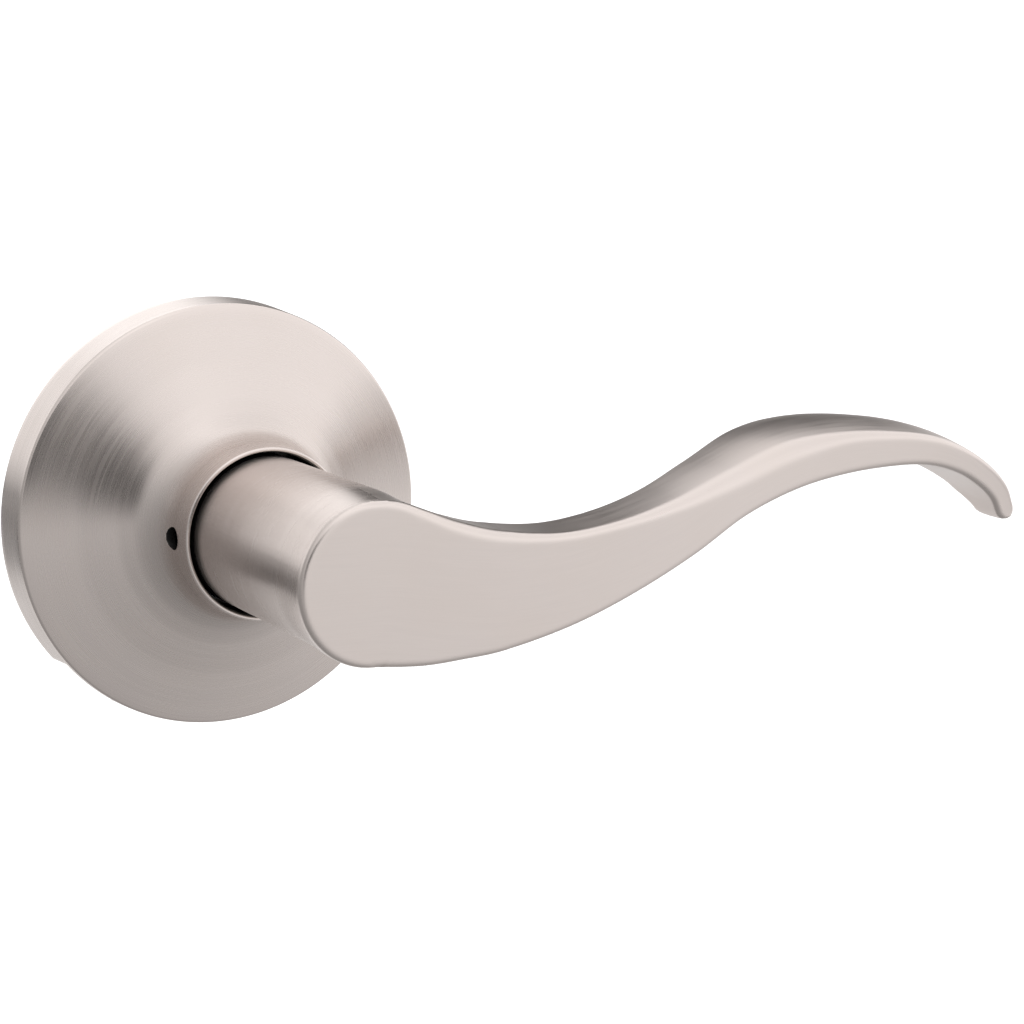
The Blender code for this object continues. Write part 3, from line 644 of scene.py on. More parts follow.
def soften_join(body, blade_tree):
    """Rounds the hollow where the blade leaves the shank, by evening out the points near both."""
    points = vectors(body.data.vertices, "co")
    radius = np.hypot(points[:, 0], points[:, 2])
    near_shank = np.abs(radius - SHANK_RADIUS * MM)
    height = -points[:, 1]
    reach = CREASE_REACH * MM
    close = near_shank < reach
    close &= (points[:, 0] > 1.0 * MM) & (height < (FACE_HEIGHT - 2.0) * MM)
    weight = np.zeros(len(points))
    for index in np.nonzero(close)[0]:
        found = blade_tree.find_nearest(Vector(points[index]), reach)
        if found[0] is None:
            continue
        away = max(near_shank[index], found[3]) / reach
        side = min(1.0, (points[index, 0] / MM - 1.0) / 4.0)
        weight[index] = side * (1.0 - away * away)
    group = body.vertex_groups.new(name="join")
    for index in np.nonzero(weight > 0.0)[0]:
        group.add([int(index)], float(weight[index]), "REPLACE")
    smooth = body.modifiers.new("soft", "SMOOTH")
    smooth.vertex_group = group.name
    smooth.iterations = CREASE_ROUNDS
    settle(body, SKIN_CREASE)
    body.vertex_groups.clear()


def bore_tools():
    past = SHANK_FOOT - 1.0
    outline = [
        (0.0, past, 0.0),
        (COUNTERBORE_RADIUS, past, 0.0),
        (COUNTERBORE_RADIUS, COUNTERBORE_TOP, 0.2),
        (BORE_RADIUS, COUNTERBORE_TOP, 0.2),
        (BORE_RADIUS, BORE_TOP, 0.3),
        (0.0, BORE_TOP, 0.0),
    ]
    bore = turned("bore_tool", rounded(outline, 3), segments=96)
    hole = cross_drill("catch_hole_tool", -SHANK_RADIUS - 2.0, 2.0 - COUNTERBORE_RADIUS, CATCH_HOLE_RADIUS)
    return [bore, hole]


def round_pairs(mesh, corners):
    """For each face corner, whether it is on the shank, and its distance round and out from the door."""
    counts = whole_numbers(mesh.polygons, "loop_total")
    slots = whole_numbers(mesh.polygons, "material_index")
    centres = np.repeat(vectors(mesh.polygons, "center"), counts, axis=0)
    middle = np.arctan2(centres[:, 2], centres[:, 0])
    turn = np.arctan2(corners[:, 2], corners[:, 0]) - middle
    turn = (turn + math.pi) % (2 * math.pi) - math.pi
    distance = (middle + turn) * SHANK_RADIUS * MM
    return np.repeat(slots > 0, counts), np.stack([distance, -corners[:, 1]], axis=1)


def lay_brushing(obj):
    """Stores the way that the blade was brushed: distance along its middle line, and across it."""
    line = np.array(middle_line()) * MM
    step = np.diff(line, axis=0)
    along = np.concatenate([[0.0], np.cumsum(np.hypot(*step.T))])
    points = vectors(obj.data.vertices, "co")
    flat = points[:, [0, 2]]
    run = np.empty(len(points))
    across = np.empty(len(points))
    tangent = np.gradient(line, axis=0)
    tangent /= np.linalg.norm(tangent, axis=1)[:, None]
    for first in range(0, len(points), AT_ONCE):
        part = slice(first, first + AT_ONCE)
        gap = ((flat[part, None, :] - line[None, :, :]) ** 2).sum(axis=2)
        near = gap.argmin(axis=1)
        offset = flat[part] - line[near]
        run[part] = along[near] + (offset * tangent[near]).sum(axis=1)
        normal = np.stack([-tangent[near, 1], tangent[near, 0]], axis=1)
        across[part] = (offset * normal).sum(axis=1)
    loops = whole_numbers(obj.data.loops, "vertex_index")
    across += points[:, 1]
    pairs = np.stack([run[loops], across[loops]], axis=1)
    on_shank, turned_pairs = round_pairs(obj.data, points[loops])
    pairs[on_shank] = turned_pairs[on_shank]
    layer = obj.data.uv_layers.new(name="brushing")
    layer.data.foreach_set("uv", pairs.astype(np.float32).ravel())


def shank_slot(lever):
    """The shank, brushed round, takes the second material; its bores and hidden foot the third, a painted
    shade.
    """
    for face in lever.data.polygons:
        x, y, z = face.center / MM
        radius = math.hypot(x, z)
        height = -y
        clear_of_blade = x < 1.0 or height < FACE_HEIGHT - HEAD_BLEND
        in_bore = radius < SHANK_RADIUS - 0.5 and height < BORE_TOP + 0.5
        on_shank = radius < SHANK_RADIUS + 0.2 and height < FACE_HEIGHT - RIM_EDGE - 0.4
        # Painted shade: the bores and the foot inside the neck take the near-black third material.
        if in_bore or height < NECK_HEIGHT - 0.5:
            face.material_index = 2
        elif on_shank and clear_of_blade:
            face.material_index = 1


def make_lever():
    blade = mesh_object("blade_tool", blade_mesh())
    blade_tree = BVHTree.FromObject(blade, bpy.context.evaluated_depsgraph_get())
    shells = joined("lever_shells", [blade, head_solid(), shank_solid()])
    lever = skin(shells, "lever_body")
    bpy.data.objects.remove(shells)
    soften_join(lever, blade_tree)
    boolean(lever, bore_tools(), crease=60.0)
    shank_slot(lever)
    mark_edges(lever)
    lay_brushing(lever)
    return lever


# ---- Behind the rose


def make_plate():
    edge = PLATE_HIGH.x
    wall = edge - PLATE_WALL
    flange = -PLATE_LOW.y
    corners = [
        (PLATE_BORE, PLATE_RECESS, 0.15),
        (PLATE_RECESS_RADIUS, PLATE_RECESS, 0.4),
        (PLATE_RECESS_RADIUS + PLATE_RECESS, 0.0, 0.4),
        (edge, 0.0, 1.2),
        (edge, flange, 0.2),
        (wall, flange, 0.2),
        (wall, PLATE_THICKNESS, 0.5),
        (PLATE_BORE, PLATE_THICKNESS, 0.15),
    ]
    plate = turned("plate_disc", refine(rounded(corners), 2.5))
    holes = [(x, 0.0, POST_NECK_RADIUS + CLEARANCE) for x in (-POST_X, POST_X)]
    x, z = RIVET_PLACE
    holes += [(side * x, up * z, RIVET_RADIUS + CLEARANCE) for side in (-1, 1) for up in (-1, 1)]
    tools = []
    for number, (x, z, radius) in enumerate(holes):
        tools.append(rod(f"plate_hole_{number}", (x, -1.0, z), (x, 3.0, z), radius, 48))
    boolean(plate, tools)
    bevel_edges(plate, 0.12)
    return mark_edges(plate, 0.3)


def threaded(radius, height, degrees):
    """Turns the wall of a post's bore into a screw thread."""
    if radius > THREAD_RADIUS + 0.01:
        return radius, height
    run_out = min(1.0, (POST_THREAD_DEPTH - POST_HIGH.y - 1.0 - height) / THREAD_PITCH)
    phase = (height / THREAD_PITCH + degrees / 360.0) % 1.0
    return radius + THREAD_CUT * (1.0 - abs(2.0 * phase - 1.0)) * max(0.0, run_out), height


def make_post(side):
    foot = -POST_HIGH.y
    bottom = foot + POST_THREAD_DEPTH
    top = -POST_LOW.y
    head = (POST_HIGH.z - POST_LOW.z) / 2
    outside = [
        (0.0, bottom, 0.0),
        (THREAD_RADIUS, bottom - 1.0, 0.0),
        (THREAD_RADIUS, foot + 0.4, 0.0),
        (THREAD_RADIUS + 0.4, foot, 0.0),
        (POST_RADIUS, foot, 0.5),
        (POST_RADIUS, RIVET_BACK, 0.3),
        (POST_NECK_RADIUS, RIVET_BACK, 0.0),
        (POST_NECK_RADIUS, POST_HEAD_FOOT, 0.0),
        (head, POST_HEAD_FOOT, 0.2),
        (head, top, 0.7),
        (0.0, top, 0.0),
    ]
    post = turned(f"post_{side}", refine(rounded(outside), THREAD_PITCH / 7), 48, 60.0, threaded)
    shift(post, POST_X if side == "right" else -POST_X, 0.0, 0.0)
    return mark_edges(post, 0.2)


def make_rivet(number):
    """A pressed rivet: a low dome at the back and a taller head on the cage's ear."""
    tail = -RIVET_HIGH.y
    head = half_width(RIVET_LOW, RIVET_HIGH)
    corners = [
        (0.0, tail, 0.0),
        (0.82 * RIVET_TAIL_RADIUS, tail + 0.1, 0.5),
        (RIVET_TAIL_RADIUS, RIVET_BACK, 0.1),
        (RIVET_RADIUS, RIVET_BACK, 0.0),
        (RIVET_RADIUS, RIVET_FRONT, 0.0),
        (head, RIVET_FRONT, 0.1),
        (0.85 * head, -RIVET_LOW.y - 0.3, 0.7),
        (0.0, -RIVET_LOW.y, 0.0),
    ]
    rivet = turned(f"rivet_{number}", rounded(corners, 8), 48, 50.0)
    low, high = box_mm(f"cage_rivet_{number}")
    shift(rivet, (low.x + high.x) / 2, 0.0, (low.z + high.z) / 2)
    return mark_edges(rivet, 0.2)


def make_rear_bushing():
    flange = half_width(BUSHING_LOW, BUSHING_HIGH)
    back = -BUSHING_HIGH.y
    front = -BUSHING_LOW.y
    corners = [
        (TUBE_HIGH.x + CLEARANCE, back, 0.2),
        (flange, back, 0.2),
        (flange, RIVET_BACK, 0.15),
        (PLATE_BORE - CLEARANCE, RIVET_BACK, 0.0),
        (PLATE_BORE - CLEARANCE, front, 0.3),
        (TUBE_HIGH.x + CLEARANCE, front, 0.2),
    ]
    return turned("bushing_rear", refine(rounded(corners), 1.5), 128)


def washer_outline(outer, back, front, rounding, steps):
    corners = [(WASHER_BORE, back), (outer, back), (outer, front), (WASHER_BORE, front)]
    return rounded([(*corner, rounding) for corner in corners], steps)


def make_thrust_washer():
    outer = half_width(WASHER_LOW, WASHER_HIGH)
    outline = washer_outline(outer, -WASHER_HIGH.y, -WASHER_LOW.y, 0.12, 4)
    return turned("washer_brass", refine(outline, 1.0), 128)


def waved(radius, height, degrees):
    rise = (WAVE_HIGH.y - WAVE_LOW.y - WAVE_THICKNESS) / 2
    return radius, height - rise * math.cos(math.radians(WAVES * degrees))


def make_wave_washer():
    middle = -(WAVE_LOW.y + WAVE_HIGH.y) / 2
    outer = half_width(WAVE_LOW, WAVE_HIGH)
    half = WAVE_THICKNESS / 2
    outline = washer_outline(outer, middle - half, middle + half, 0.05, 2)
    return turned("washer_wave", refine(outline, 0.6), 144, shape=waved)


def make_retaining_ring():
    """An open ring with an eye at each end for the pliers."""
    outer = half_width(RING_LOW, RING_HIGH)
    middle = (outer + RING_BORE) / 2
    half = (outer - RING_BORE) / 2
    start = 90.0 + RING_OPENING / 2
    end = 450.0 - RING_OPENING / 2
    eye = math.degrees(half / middle)
    outline = arc((0.0, 0.0), outer, start + eye, end - eye, 96)
    outline += arc(polar(middle, end - eye), half, end - eye, end - eye + 180.0, 12)[1:-1]
    outline += arc((0.0, 0.0), RING_BORE, end - eye, start + eye, 96)
    outline += arc(polar(middle, start + eye), half, start + eye + 180.0, start + eye + 360.0, 12)[1:-1]
    ring = prism("ring_open", outline, -RING_HIGH.y, -RING_LOW.y)
    tools = []
    for number, degrees in enumerate((start + eye, end - eye)):
        x, z = polar(middle, degrees)
        tools.append(rod(f"ring_eye_{number}", (x, -9.0, z), (x, 0.0, z), RING_EYE, 24))
    boolean(ring, tools)
    bevel_edges(ring, 0.12)
    return mark_edges(ring, 0.2)


def make_tube():
    outer = TUBE_HIGH.x
    back = -TUBE_HIGH.y
    top = -TUBE_LOW.y
    groove = outer - TUBE_GROOVE_DEPTH
    front_of_groove, back_of_groove = (-distance for distance in TUBE_GROOVE)
    corners = [
        (TUBE_BORE, back, 0.2),
        (outer, back, 0.35),
        (outer, back_of_groove, 0.1),
        (groove, back_of_groove, 0.1),
        (groove, front_of_groove, 0.1),
        (outer, front_of_groove, 0.1),
        (outer, top, 0.3),
        (TUBE_BORE, top, 0.2),
    ]
    tube = turned("tube", refine(rounded(corners, 4), 3.0), 96)
    far = outer + 2.0
    tools = []
    for side in (-1, 1):
        low, high = sorted((side * TUBE_FLAT, side * far))
        tools.append(block(f"flat_{side}", (-far, -top - 1.0, low), (far, -TUBE_FLAT_FOOT, high)))
    tools.append(cross_drill("tube_catch_hole", -far, -2.0, CATCH_HOLE_RADIUS))
    boolean(tube, tools)
    bevel_edges(tube, 0.1)
    return mark_edges(tube, 0.2)


def make_spindle():
    """The square bar, with broken corners and a chamfer at each end."""
    corner = SPINDLE_CORNER
    lead = SPINDLE_LEAD
    steps = 28
    back = -SPINDLE_HIGH.y
    front = -SPINDLE_LOW.y
    straight = front - back - 2 * lead
    levels = [(back, lead)]
    levels += [(back + lead + straight * step / steps, 0.0) for step in range(steps + 1)]
    levels += [(front, lead)]
    bm = bmesh.new()
    rings = []
    for height, inset in levels:
        side = SPINDLE_HIGH.x - inset * 0.6
        ring = []
        for quarter in range(4):
            for x, z in arc((side - corner, side - corner), corner, 0.0, 90.0, 6):
                turn = Vector((x, z))
                turn.rotate(Matrix.Rotation(math.radians(90.0 * quarter), 2))
                ring.append(bm.verts.new(at(turn.x, height, turn.y)))
        rings.append(ring)
    bridge(bm, rings)
    bar = mesh_object("square_bar", bm)
    bevel_edges(bar, 0.08, 25.0)
    return mark_edges(bar, 0.4)


def make_catch():
    """The button, with a rounded tip, and the pad at its foot that the spring pushes on."""
    foot = 0.5 * CATCH_PAD - CATCH_HIGH.x
    corners = [(0.0, foot, 0.0), (CATCH_BUTTON_RADIUS, foot, 0.0)]
    corners += [(CATCH_BUTTON_RADIUS, -CATCH_LOW.x, 0.7), (0.0, -CATCH_LOW.x, 0.0)]
    button = turned("button_tool", rounded(corners), 48)
    button.data.transform(Matrix.Rotation(-math.pi / 2, 4, "Z"))
    shift(button, 0.0, CATCH_HEIGHT, 0.0)
    pad = block("catch_button", (CATCH_HIGH.x - CATCH_PAD, *CATCH_LOW.yz), CATCH_HIGH)
    boolean(pad, [button], "UNION")
    bevel_edges(pad, 0.15)
    return mark_edges(pad, 0.2)


def make_catch_spring():
    """A compression spring along the X axis, with closed end turns."""
    coil_radius = (SPRING_HIGH.z - SPRING_LOW.z) / 2 - SPRING_WIRE
    start = SPRING_LOW.x + SPRING_WIRE
    length = SPRING_HIGH.x - SPRING_WIRE - start
    end_turn = 2 * SPRING_WIRE + 0.05
    turns = (0.0, 1.0, SPRING_TURNS - 1.0, SPRING_TURNS)
    distances = (0.0, end_turn, length - end_turn, length)
    bm = bmesh.new()
    rings = []
    steps = 24
    for step in range(steps * SPRING_TURNS + 1):
        x = start + float(np.interp(step / steps, turns, distances))
        ring = []
        for side in range(10):
            out, along = polar(SPRING_WIRE, 36.0 * side)
            up, z = polar(coil_radius + out, 360.0 * step / steps)
            ring.append(bm.verts.new(at(x + along, CATCH_HEIGHT + up, z)))
        rings.append(ring)
    bridge(bm, rings)
    return mesh_object("coil_spring", bm, 50.0)


def fit(piece, body, node, slot, *materials):
    """Puts a finished piece on its body in the place of a CAD node."""
    assign(piece, *materials)
    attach(piece, body)
    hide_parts(node)


def fit_catch(materials):
    """The catch, and its spring."""
    # Painted shade: the catch, seen through the tool hole, takes the near-black inside material.
    fit(make_catch(), "catch", "lever_catch", "spring_steel", materials["inside"])
    spring = make_catch_spring()
    fit(spring, "lever", "catch_spring", "spring_steel", materials["spring_steel"])
    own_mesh(spring)


def make_back(materials):
    zinc = "zinc_plated_steel"
    pieces = [(make_plate(), "trim", "mounting_plate", zinc)]
    pieces += [(make_post(side), "trim", f"mounting_post_{side}", zinc) for side in ("left", "right")]
    pieces += [(make_rivet(number), "trim", f"cage_rivet_{number}", zinc) for number in range(1, 5)]
    pieces += [
        (make_rear_bushing(), "trim", "rear_bushing", "nylon"),
        (make_thrust_washer(), "lever", "thrust_washer", "brass"),
        (make_wave_washer(), "lever", "wave_washer", "spring_steel"),
        (make_retaining_ring(), "lever", "retaining_ring", "spring_steel"),
        (make_tube(), "lever", "spindle_tube", zinc),
        (make_spindle(), "lever", "spindle", "bright_steel"),
    ]
    for piece, body, node, slot in pieces:
        fit(piece, body, node, slot, materials[slot])


# ---- Materials


class Nodes:
    """A new material or world, with short ways to add and join its nodes."""

    def __init__(self, name, kind="materials"):
        self.owner = getattr(bpy.data, kind).new(name)
        self.owner.use_nodes = True
        self.tree = self.owner.node_tree
        self.shader = self.tree.nodes.get("Principled BSDF")

    def add(self, kind, settings=None, **inputs):
        node = self.tree.nodes.new("ShaderNode" + kind)
        for key, value in (settings or {}).items():
            setattr(node, key, value)
        self.put(node, **inputs)
        return node

    def put(self, node, **inputs):
        """Sets or links a node's inputs by name, with _ for a space, or by _ and a number."""
        for key, value in inputs.items():
            name = key.replace("_", " ")
            socket = node.inputs[int(name) if name.strip().isdigit() else name]
            if isinstance(value, bpy.types.NodeSocket):
                self.tree.links.new(value, socket)
            else:
                socket.default_value = value

    def math(self, operation, a, b=0.0):
        return self.add("Math", {"operation": operation}, _0=a, _1=b).outputs[0]

    def times(self, a, b):
        return self.math("MULTIPLY", a, b)

    def hypot(self, a, b):
        return self.math("SQRT", self.math("ADD", self.times(a, a), self.times(b, b)))

    def vector(self, x, y, z):
        return self.add("CombineXYZ", {}, X=x, Y=y, Z=z).outputs[0]

    def remap(self, value, span, low, high):
        spans = {"From_Min": span[0], "From_Max": span[1], "To_Min": low, "To_Max": high}
        return self.add("MapRange", {}, Value=value, **spans).outputs[0]

    def mix(self, factor, a, b):
        return self.add("Mix", {"data_type": "RGBA"}, _0=factor, _6=a, _7=b).outputs[2]

    def rub_and_highlight(self, shade, colour, brighter):
        """Brightens the edges that mark_edges found: wear, and a painted highlight."""
        return self.mix(self.times(rubbed_and_highlit_share(self), RUBBED_AND_HIGHLIT), shade, tint(colour, brighter))

    def surface(self, colour, shade, rough, relief, strength, **inputs):
        """Joins a finished look to the shader."""
        bump = self.add("Bump", {}, Height=relief, Strength=strength, Distance=RELIEF).outputs[0]
        self.put(self.shader, Base_Color=shade, Roughness=rough, Normal=bump, **inputs)
        self.owner.diffuse_color = (*colour, 1.0)
        return self.owner


def round_coordinates(nodes):
    """The distance from the Y axis, the place along it, and the cosine and sine of the angle round it."""
    place = nodes.add("TexCoord").outputs["Object"]
    split = nodes.add("SeparateXYZ", {}, Vector=place)
    x, y, z = split.outputs
    radius = nodes.hypot(x, z)
    safe = nodes.math("MAXIMUM", radius, 1e-5)
    return radius, y, nodes.math("DIVIDE", x, safe), nodes.math("DIVIDE", z, safe)


def tint(colour, factor=1.0):
    """A darker or brighter colour, as a socket takes it."""
    return [min(1.0, channel * factor) for channel in colour] + [1.0]


def streaks_round(nodes, fineness, length):
    """Fine lines that run round the Y axis."""
    radius, height, cosine, sine = round_coordinates(nodes)
    out, up = (nodes.times(value, fineness) for value in (radius, height))
    vector = nodes.vector(out, up, nodes.times(cosine, length))
    return noise(nodes, vector, 1.0, 0.6, {"noise_dimensions": "4D"}, W=nodes.times(sine, length))


def streaks_along(nodes, fineness, length):
    """Fine lines that run along the blade."""
    place = nodes.add("UVMap", {"uv_map": "brushing"}).outputs[0]
    split = nodes.add("SeparateXYZ", {}, Vector=place)
    run, across, _ = split.outputs
    return noise(nodes, nodes.vector(nodes.times(run, length), nodes.times(across, fineness), 0.0), 1.0, 0.6)


def noise(nodes, vector, scale, roughness, settings=None, **inputs):
    inputs.update(Vector=vector, Scale=scale, Detail=3.0, Roughness=roughness)
    return nodes.add("TexNoise", settings, **inputs).outputs[0]


def cloud(nodes, scale):
    return noise(nodes, nodes.add("TexCoord").outputs["Object"], scale, 0.55)


def rubbed_and_highlit_share(nodes):
    return nodes.add("Attribute", {"attribute_name": "worn_and_highlit"}).outputs["Fac"]


def brushed_metal(name, colour, roughness, anisotropy, way):
    """Brushed plating: fine lines along the brushing, faint clouds, and rubbed edges with a painted
    highlight.
    """
    nodes = Nodes(name)
    if way == "along":
        fine = streaks_along(nodes, FINE_LINES, 130.0)
        coarse = streaks_along(nodes, FINE_LINES / COARSER, 60.0)
    else:
        fine = streaks_round(nodes, FINE_LINES, FINE_LOOP)
        coarse = streaks_round(nodes, FINE_LINES / COARSER, FINE_LOOP / 2.0)
    if way == "turned":
        tangent = nodes.add("Tangent", {"direction_type": "RADIAL", "axis": "Y"}).outputs[0]
    else:
        tangent = nodes.add("Tangent", {"direction_type": "UV_MAP", "uv_map": "brushing"}).outputs[0]
    patches = cloud(nodes, 70.0)
    both = nodes.math("ADD", nodes.times(fine, 0.6), nodes.times(coarse, 0.4))
    shade = nodes.mix(nodes.remap(both, NOISE_SPREAD, 0.0, 1.0), tint(colour, 0.97), tint(colour, 1.025))
    warmer = tint([channel * share for channel, share in zip(colour, WARMER)])
    shade = nodes.mix(nodes.remap(patches, (0.45, 0.75), 0.0, 0.35), shade, warmer)
    rough = nodes.remap(both, NOISE_SPREAD, roughness - 0.05, roughness + 0.05)
    rough = nodes.math("ADD", rough, nodes.remap(patches, NOISE_SPREAD, -0.02, 0.02))
    rough = nodes.math("SUBTRACT", rough, nodes.times(rubbed_and_highlit_share(nodes), 0.06))
    nodes.put(nodes.shader, Tangent=tangent, Anisotropic=anisotropy, Anisotropic_Rotation=0.25)
    return nodes.surface(colour, nodes.rub_and_highlight(shade, colour, 1.18), rough, both, 0.06, Metallic=1.0)


def plain_metal(name, colour, roughness):
    """Metal as it leaves the press or the caster: faint grain, clouds, and rubbed edges with a painted
    highlight.
    """
    nodes = Nodes(name)
    grains = cloud(nodes, 900.0)
    patches = nodes.remap(cloud(nodes, 90.0), CLOUD_SPREAD, 0.0, 1.0)
    shade = nodes.mix(patches, tint(colour, 0.82), tint(colour, 1.12))
    rough = nodes.remap(grains, NOISE_SPREAD, roughness - 0.07, roughness + 0.07)
    return nodes.surface(colour, nodes.rub_and_highlight(shade, colour, 1.25), rough, grains, 0.12, Metallic=1.0)


def drawn_metal(name, colour, roughness):
    """Bar as it comes from the drawing die: fine lines along the Y axis and faint clouds."""
    nodes = Nodes(name)
    place = nodes.add("TexCoord").outputs["Object"]
    stretch = nodes.add("Mapping", {}, Vector=place, Scale=(4200.0, 90.0, 4200.0))
    lines = noise(nodes, stretch.outputs[0], 1.0, 0.5)
    patches = nodes.remap(cloud(nodes, 60.0), CLOUD_SPREAD, 0.0, 1.0)
    shade = nodes.mix(patches, tint(colour, 0.9), tint(colour, 1.05))
    rough = nodes.remap(lines, NOISE_SPREAD, roughness - 0.05, roughness + 0.05)
    return nodes.surface(colour, nodes.rub_and_highlight(shade, colour, 1.2), rough, lines, 0.08, Metallic=1.0)


def moulded_nylon(name, colour):
    nodes = Nodes(name)
    grains = cloud(nodes, 2500.0)
    patches = nodes.remap(cloud(nodes, 120.0), CLOUD_SPREAD, 0.0, 1.0)
    shade = nodes.mix(patches, tint(colour, 0.93), tint(colour))
    nodes.put(nodes.shader, Subsurface_Weight=0.15, Subsurface_Radius=(0.001, 0.0008, 0.0006))
    return nodes.surface(colour, shade, nodes.remap(grains, NOISE_SPREAD, 0.42, 0.55), grains, 0.2)


def make_materials():
    return {
        "rose": brushed_metal("nickel_brushed_round", NICKEL, 0.27, 0.8, "turned"),
        "blade": brushed_metal("nickel_brushed_along", NICKEL, 0.33, 0.55, "along"),
        "shank": brushed_metal("nickel_brushed_shank", NICKEL, 0.25, 0.82, "round"),
        # Near-black, a painted shade for the neck's bore, the tool hole, the catch and the shank's foot in
        # the neck.
        "inside": plain_metal("painted_shade_inside", (0.035, 0.033, 0.032), 0.6),
        "pressed": plain_metal("raw_pressed", (0.44, 0.42, 0.39), 0.42),
        "zinc_plated_steel": plain_metal("zinc_plate", (0.55, 0.56, 0.57), 0.36),
        # Very dark: a painted shade, darkened so that the tool hole looks black.
        "spring_steel": plain_metal("spring_steel_painted_shade", (0.07, 0.07, 0.075), 0.38),
        "bright_steel": drawn_metal("drawn_bar", (0.56, 0.55, 0.53), 0.3),
        "cast_zinc": plain_metal("cast_zinc", (0.40, 0.41, 0.42), 0.48),
        "nylon": moulded_nylon("natural_nylon", (0.78, 0.76, 0.70)),
        "brass": plain_metal("stamped_brass", (0.66, 0.47, 0.20), 0.32),
    }


def assign(obj, *materials):
    """Gives an object its materials. Clearing the old ones resets which face has which, so that is kept."""
    faces = obj.data.polygons
    kept = whole_numbers(faces, "material_index")
    obj.data.materials.clear()
    for material in materials:
        obj.data.materials.append(material)
    faces.foreach_set("material_index", np.minimum(kept, len(materials) - 1))


def dress_nodes(materials):
    """Each CAD node that still shows takes the material of its slot in the record."""
    for subpart in frame["record"]["subparts"]:
        node = frame["nodes"][subpart["node"]]
        if subpart["material_slot"] not in materials or node.hide_render:
            continue
        for slot in node.material_slots:
            slot.material = materials[subpart["material_slot"]]


# ---- Surroundings


def toward(azimuth, elevation):
    """The direction at this azimuth, from -Y round towards +X, and this height above the horizon."""
    level, up = polar(1.0, elevation)
    front, side = polar(level, azimuth)
    return Vector((side, -front, up))


def put_round(obj, centre, direction, distance):
    """Puts a camera, a lamp or a board this far from a point, looking back at it."""
    obj.location = centre + direction * distance * MM
    obj.rotation_mode = "QUATERNION"
    obj.rotation_quaternion = direction.to_track_quat("Z", "Y")


def hide_from(obj, *rays):
    for ray in rays:
        setattr(obj, f"visible_{ray}", False)


def make_camera():
    data = bpy.data.cameras.new("camera")
    data.lens = CAMERA_LENS
    data.sensor_width = 36.0
    camera = linked("camera", data)
    put_round(camera, Vector(CAMERA_TARGET) * MM, toward(CAMERA_AZIMUTH, CAMERA_ELEVATION), CAMERA_DISTANCE)
    bpy.context.scene.camera = camera


def make_floor():
    """A pale floor that curves up into a backdrop all round."""
    level = FLOOR_DROP - CAD_BOX[0].z / MM
    profile = [(x, 0.0) for x in (0.0, 200.0, 500.0, 1000.0)]
    profile += arc((FLOOR_RADIUS - COVE_RADIUS, COVE_RADIUS), COVE_RADIUS, -90.0, 0.0, 24)
    profile.append((FLOOR_RADIUS, WALL_HEIGHT))
    bm = bmesh.new()
    steps = 96
    rings = []
    for radius, rise in profile:
        circle = [polar(radius, 360.0 * step / steps) for step in range(steps)]
        rings.append([bm.verts.new(Vector((x, y, rise - level)) * MM) for x, y in circle])
    bridge(bm, rings, ends=False)
    bmesh.ops.remove_doubles(bm, verts=bm.verts, dist=1e-6)
    floor = mesh_object("floor", bm, 180.0)
    nodes = Nodes("pale_floor")
    nodes.put(nodes.shader, Base_Color=tint([FLOOR_PALENESS] * 3), Roughness=0.9, Specular_IOR_Level=0.0)
    nodes.put(nodes.shader, Emission_Color=tint([1.0] * 3), Emission_Strength=FLOOR_GLOW)
    assign(floor, nodes.owner)
    hide_from(floor, "glossy", "diffuse", "transmission", "shadow")


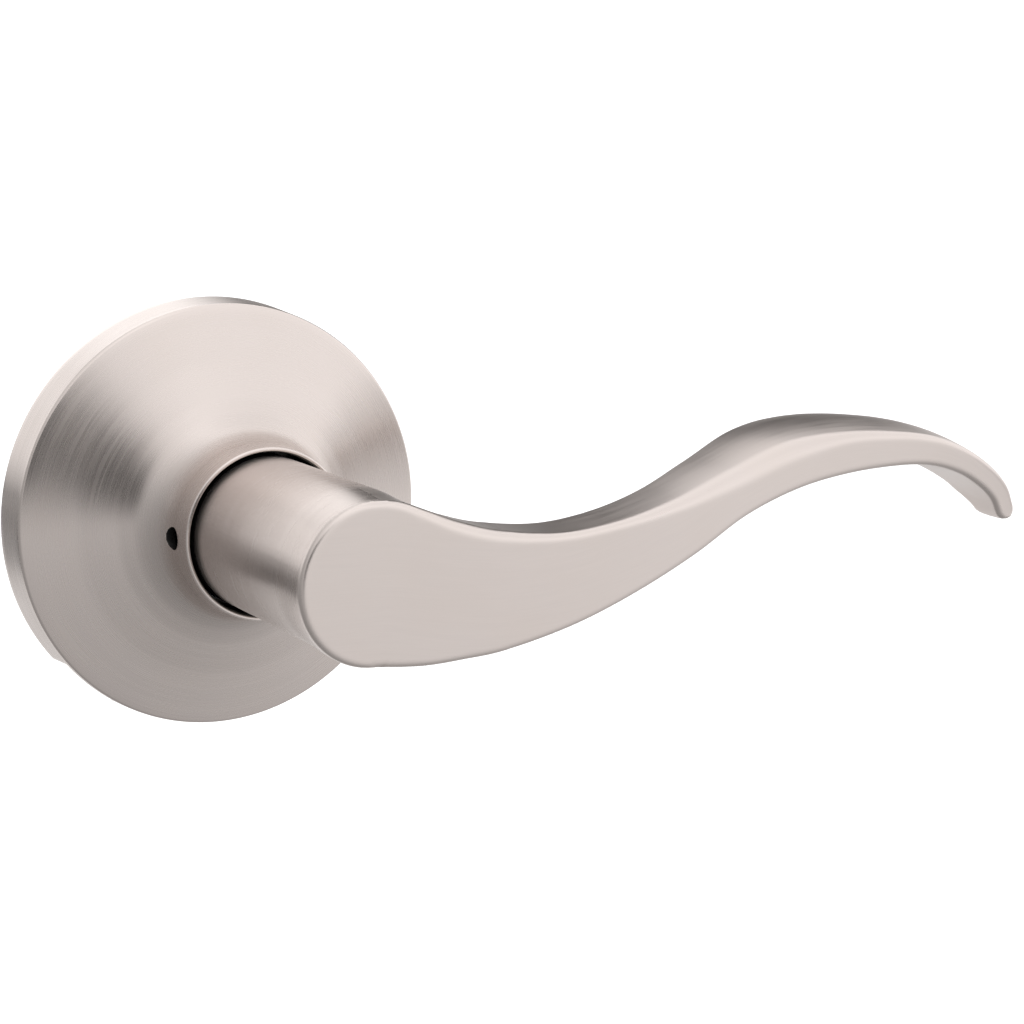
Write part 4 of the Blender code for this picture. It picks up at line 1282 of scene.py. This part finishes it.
def board(name, azimuth, elevation, distance, size, tilt, shade):
    """A soft-edged board that only reflections see, at an angle and of a size in degrees."""
    half_x, half_y = (math.tan(math.radians(side / 2)) * distance * MM for side in size)
    bm = bmesh.new()
    corners = [(-half_x, -half_y), (half_x, -half_y), (half_x, half_y), (-half_x, half_y)]
    bm.faces.new([bm.verts.new((x, y, 0.0)) for x, y in corners])
    made = mesh_object(name, bm)
    put_round(made, MIDDLE, toward(azimuth, elevation), distance)
    made.rotation_quaternion @= Quaternion((0.0, 0.0, 1.0), math.radians(tilt))
    nodes = Nodes(name)
    place = nodes.add("SeparateXYZ", {}, Vector=nodes.add("TexCoord").outputs["Object"])
    x = nodes.math("DIVIDE", place.outputs[0], half_x)
    y = nodes.math("DIVIDE", place.outputs[1], half_y)
    cover = nodes.remap(nodes.hypot(x, y), (BOARD_FULL, 1.0), 1.0, 0.0)
    glow = nodes.add("Emission", {}, Color=(shade, shade, shade, 1.0), Strength=1.0).outputs[0]
    clear = nodes.add("BsdfTransparent").outputs[0]
    mixed = nodes.add("MixShader", {}, _0=cover, _1=clear, _2=glow).outputs[0]
    nodes.put(nodes.tree.nodes["Material Output"], Surface=mixed)
    nodes.tree.nodes.remove(nodes.shader)
    assign(made, nodes.owner)
    hide_from(made, "camera", "diffuse", "shadow")


def overhead_lamp():
    data = bpy.data.lights.new("overhead", "AREA")
    data.shape = "RECTANGLE"
    data.size, data.size_y = (side * MM for side in OVERHEAD_SIZE)
    data.energy = OVERHEAD_POWER
    lamp = linked("overhead", data)
    put_round(lamp, MIDDLE, toward(*OVERHEAD), OVERHEAD_DISTANCE)
    hide_from(lamp, "camera", "glossy")


def make_world():
    """Soft light from all round, brighter in front and above than behind and below."""
    nodes = Nodes("studio", "worlds")
    place = nodes.add("TexCoord").outputs["Generated"]
    dot = nodes.add("VectorMath", {"operation": "DOT_PRODUCT"}, _0=place, _1=toward(*SKY_AXIS))
    ramp = nodes.add("ValToRGB", {}, Fac=nodes.remap(dot.outputs["Value"], (-1.0, 1.0), 0.0, 1.0))
    ramp.color_ramp.interpolation = "B_SPLINE"
    points = ramp.color_ramp.elements
    for where, _ in SKY[1:-1]:
        points.new((where + 1.0) / 2)
    peak = max(bright for _, bright in SKY)
    for index, (_, bright) in enumerate(SKY):
        points[index].color = tint([bright / peak] * 3)
    nodes.put(nodes.tree.nodes["Background"], Color=ramp.outputs[0], Strength=peak)
    bpy.context.scene.world = nodes.owner


def make_light():
    make_world()
    for values in BOARDS:
        board(*values)
    overhead_lamp()
    bpy.context.scene.view_settings.view_transform = "Standard"


def main():
    make_camera()
    materials = make_materials()
    nickel = "satin_nickel"
    # The rose's second finish is a painted near-black shade for its bore and tool hole.
    finishes = (materials["rose"], materials["inside"], materials["pressed"])
    fit(make_rose(), "trim", "rose_cover", nickel, *finishes)
    # The lever's third finish is a painted near-black shade for its bores and its foot in the neck.
    finishes = (materials["blade"], materials["shank"], materials["inside"])
    fit(make_lever(), "lever", "lever_handle", nickel, *finishes)
    make_back(materials)
    fit_catch(materials)
    dress_nodes(materials)
    make_floor()
    make_light()


main()
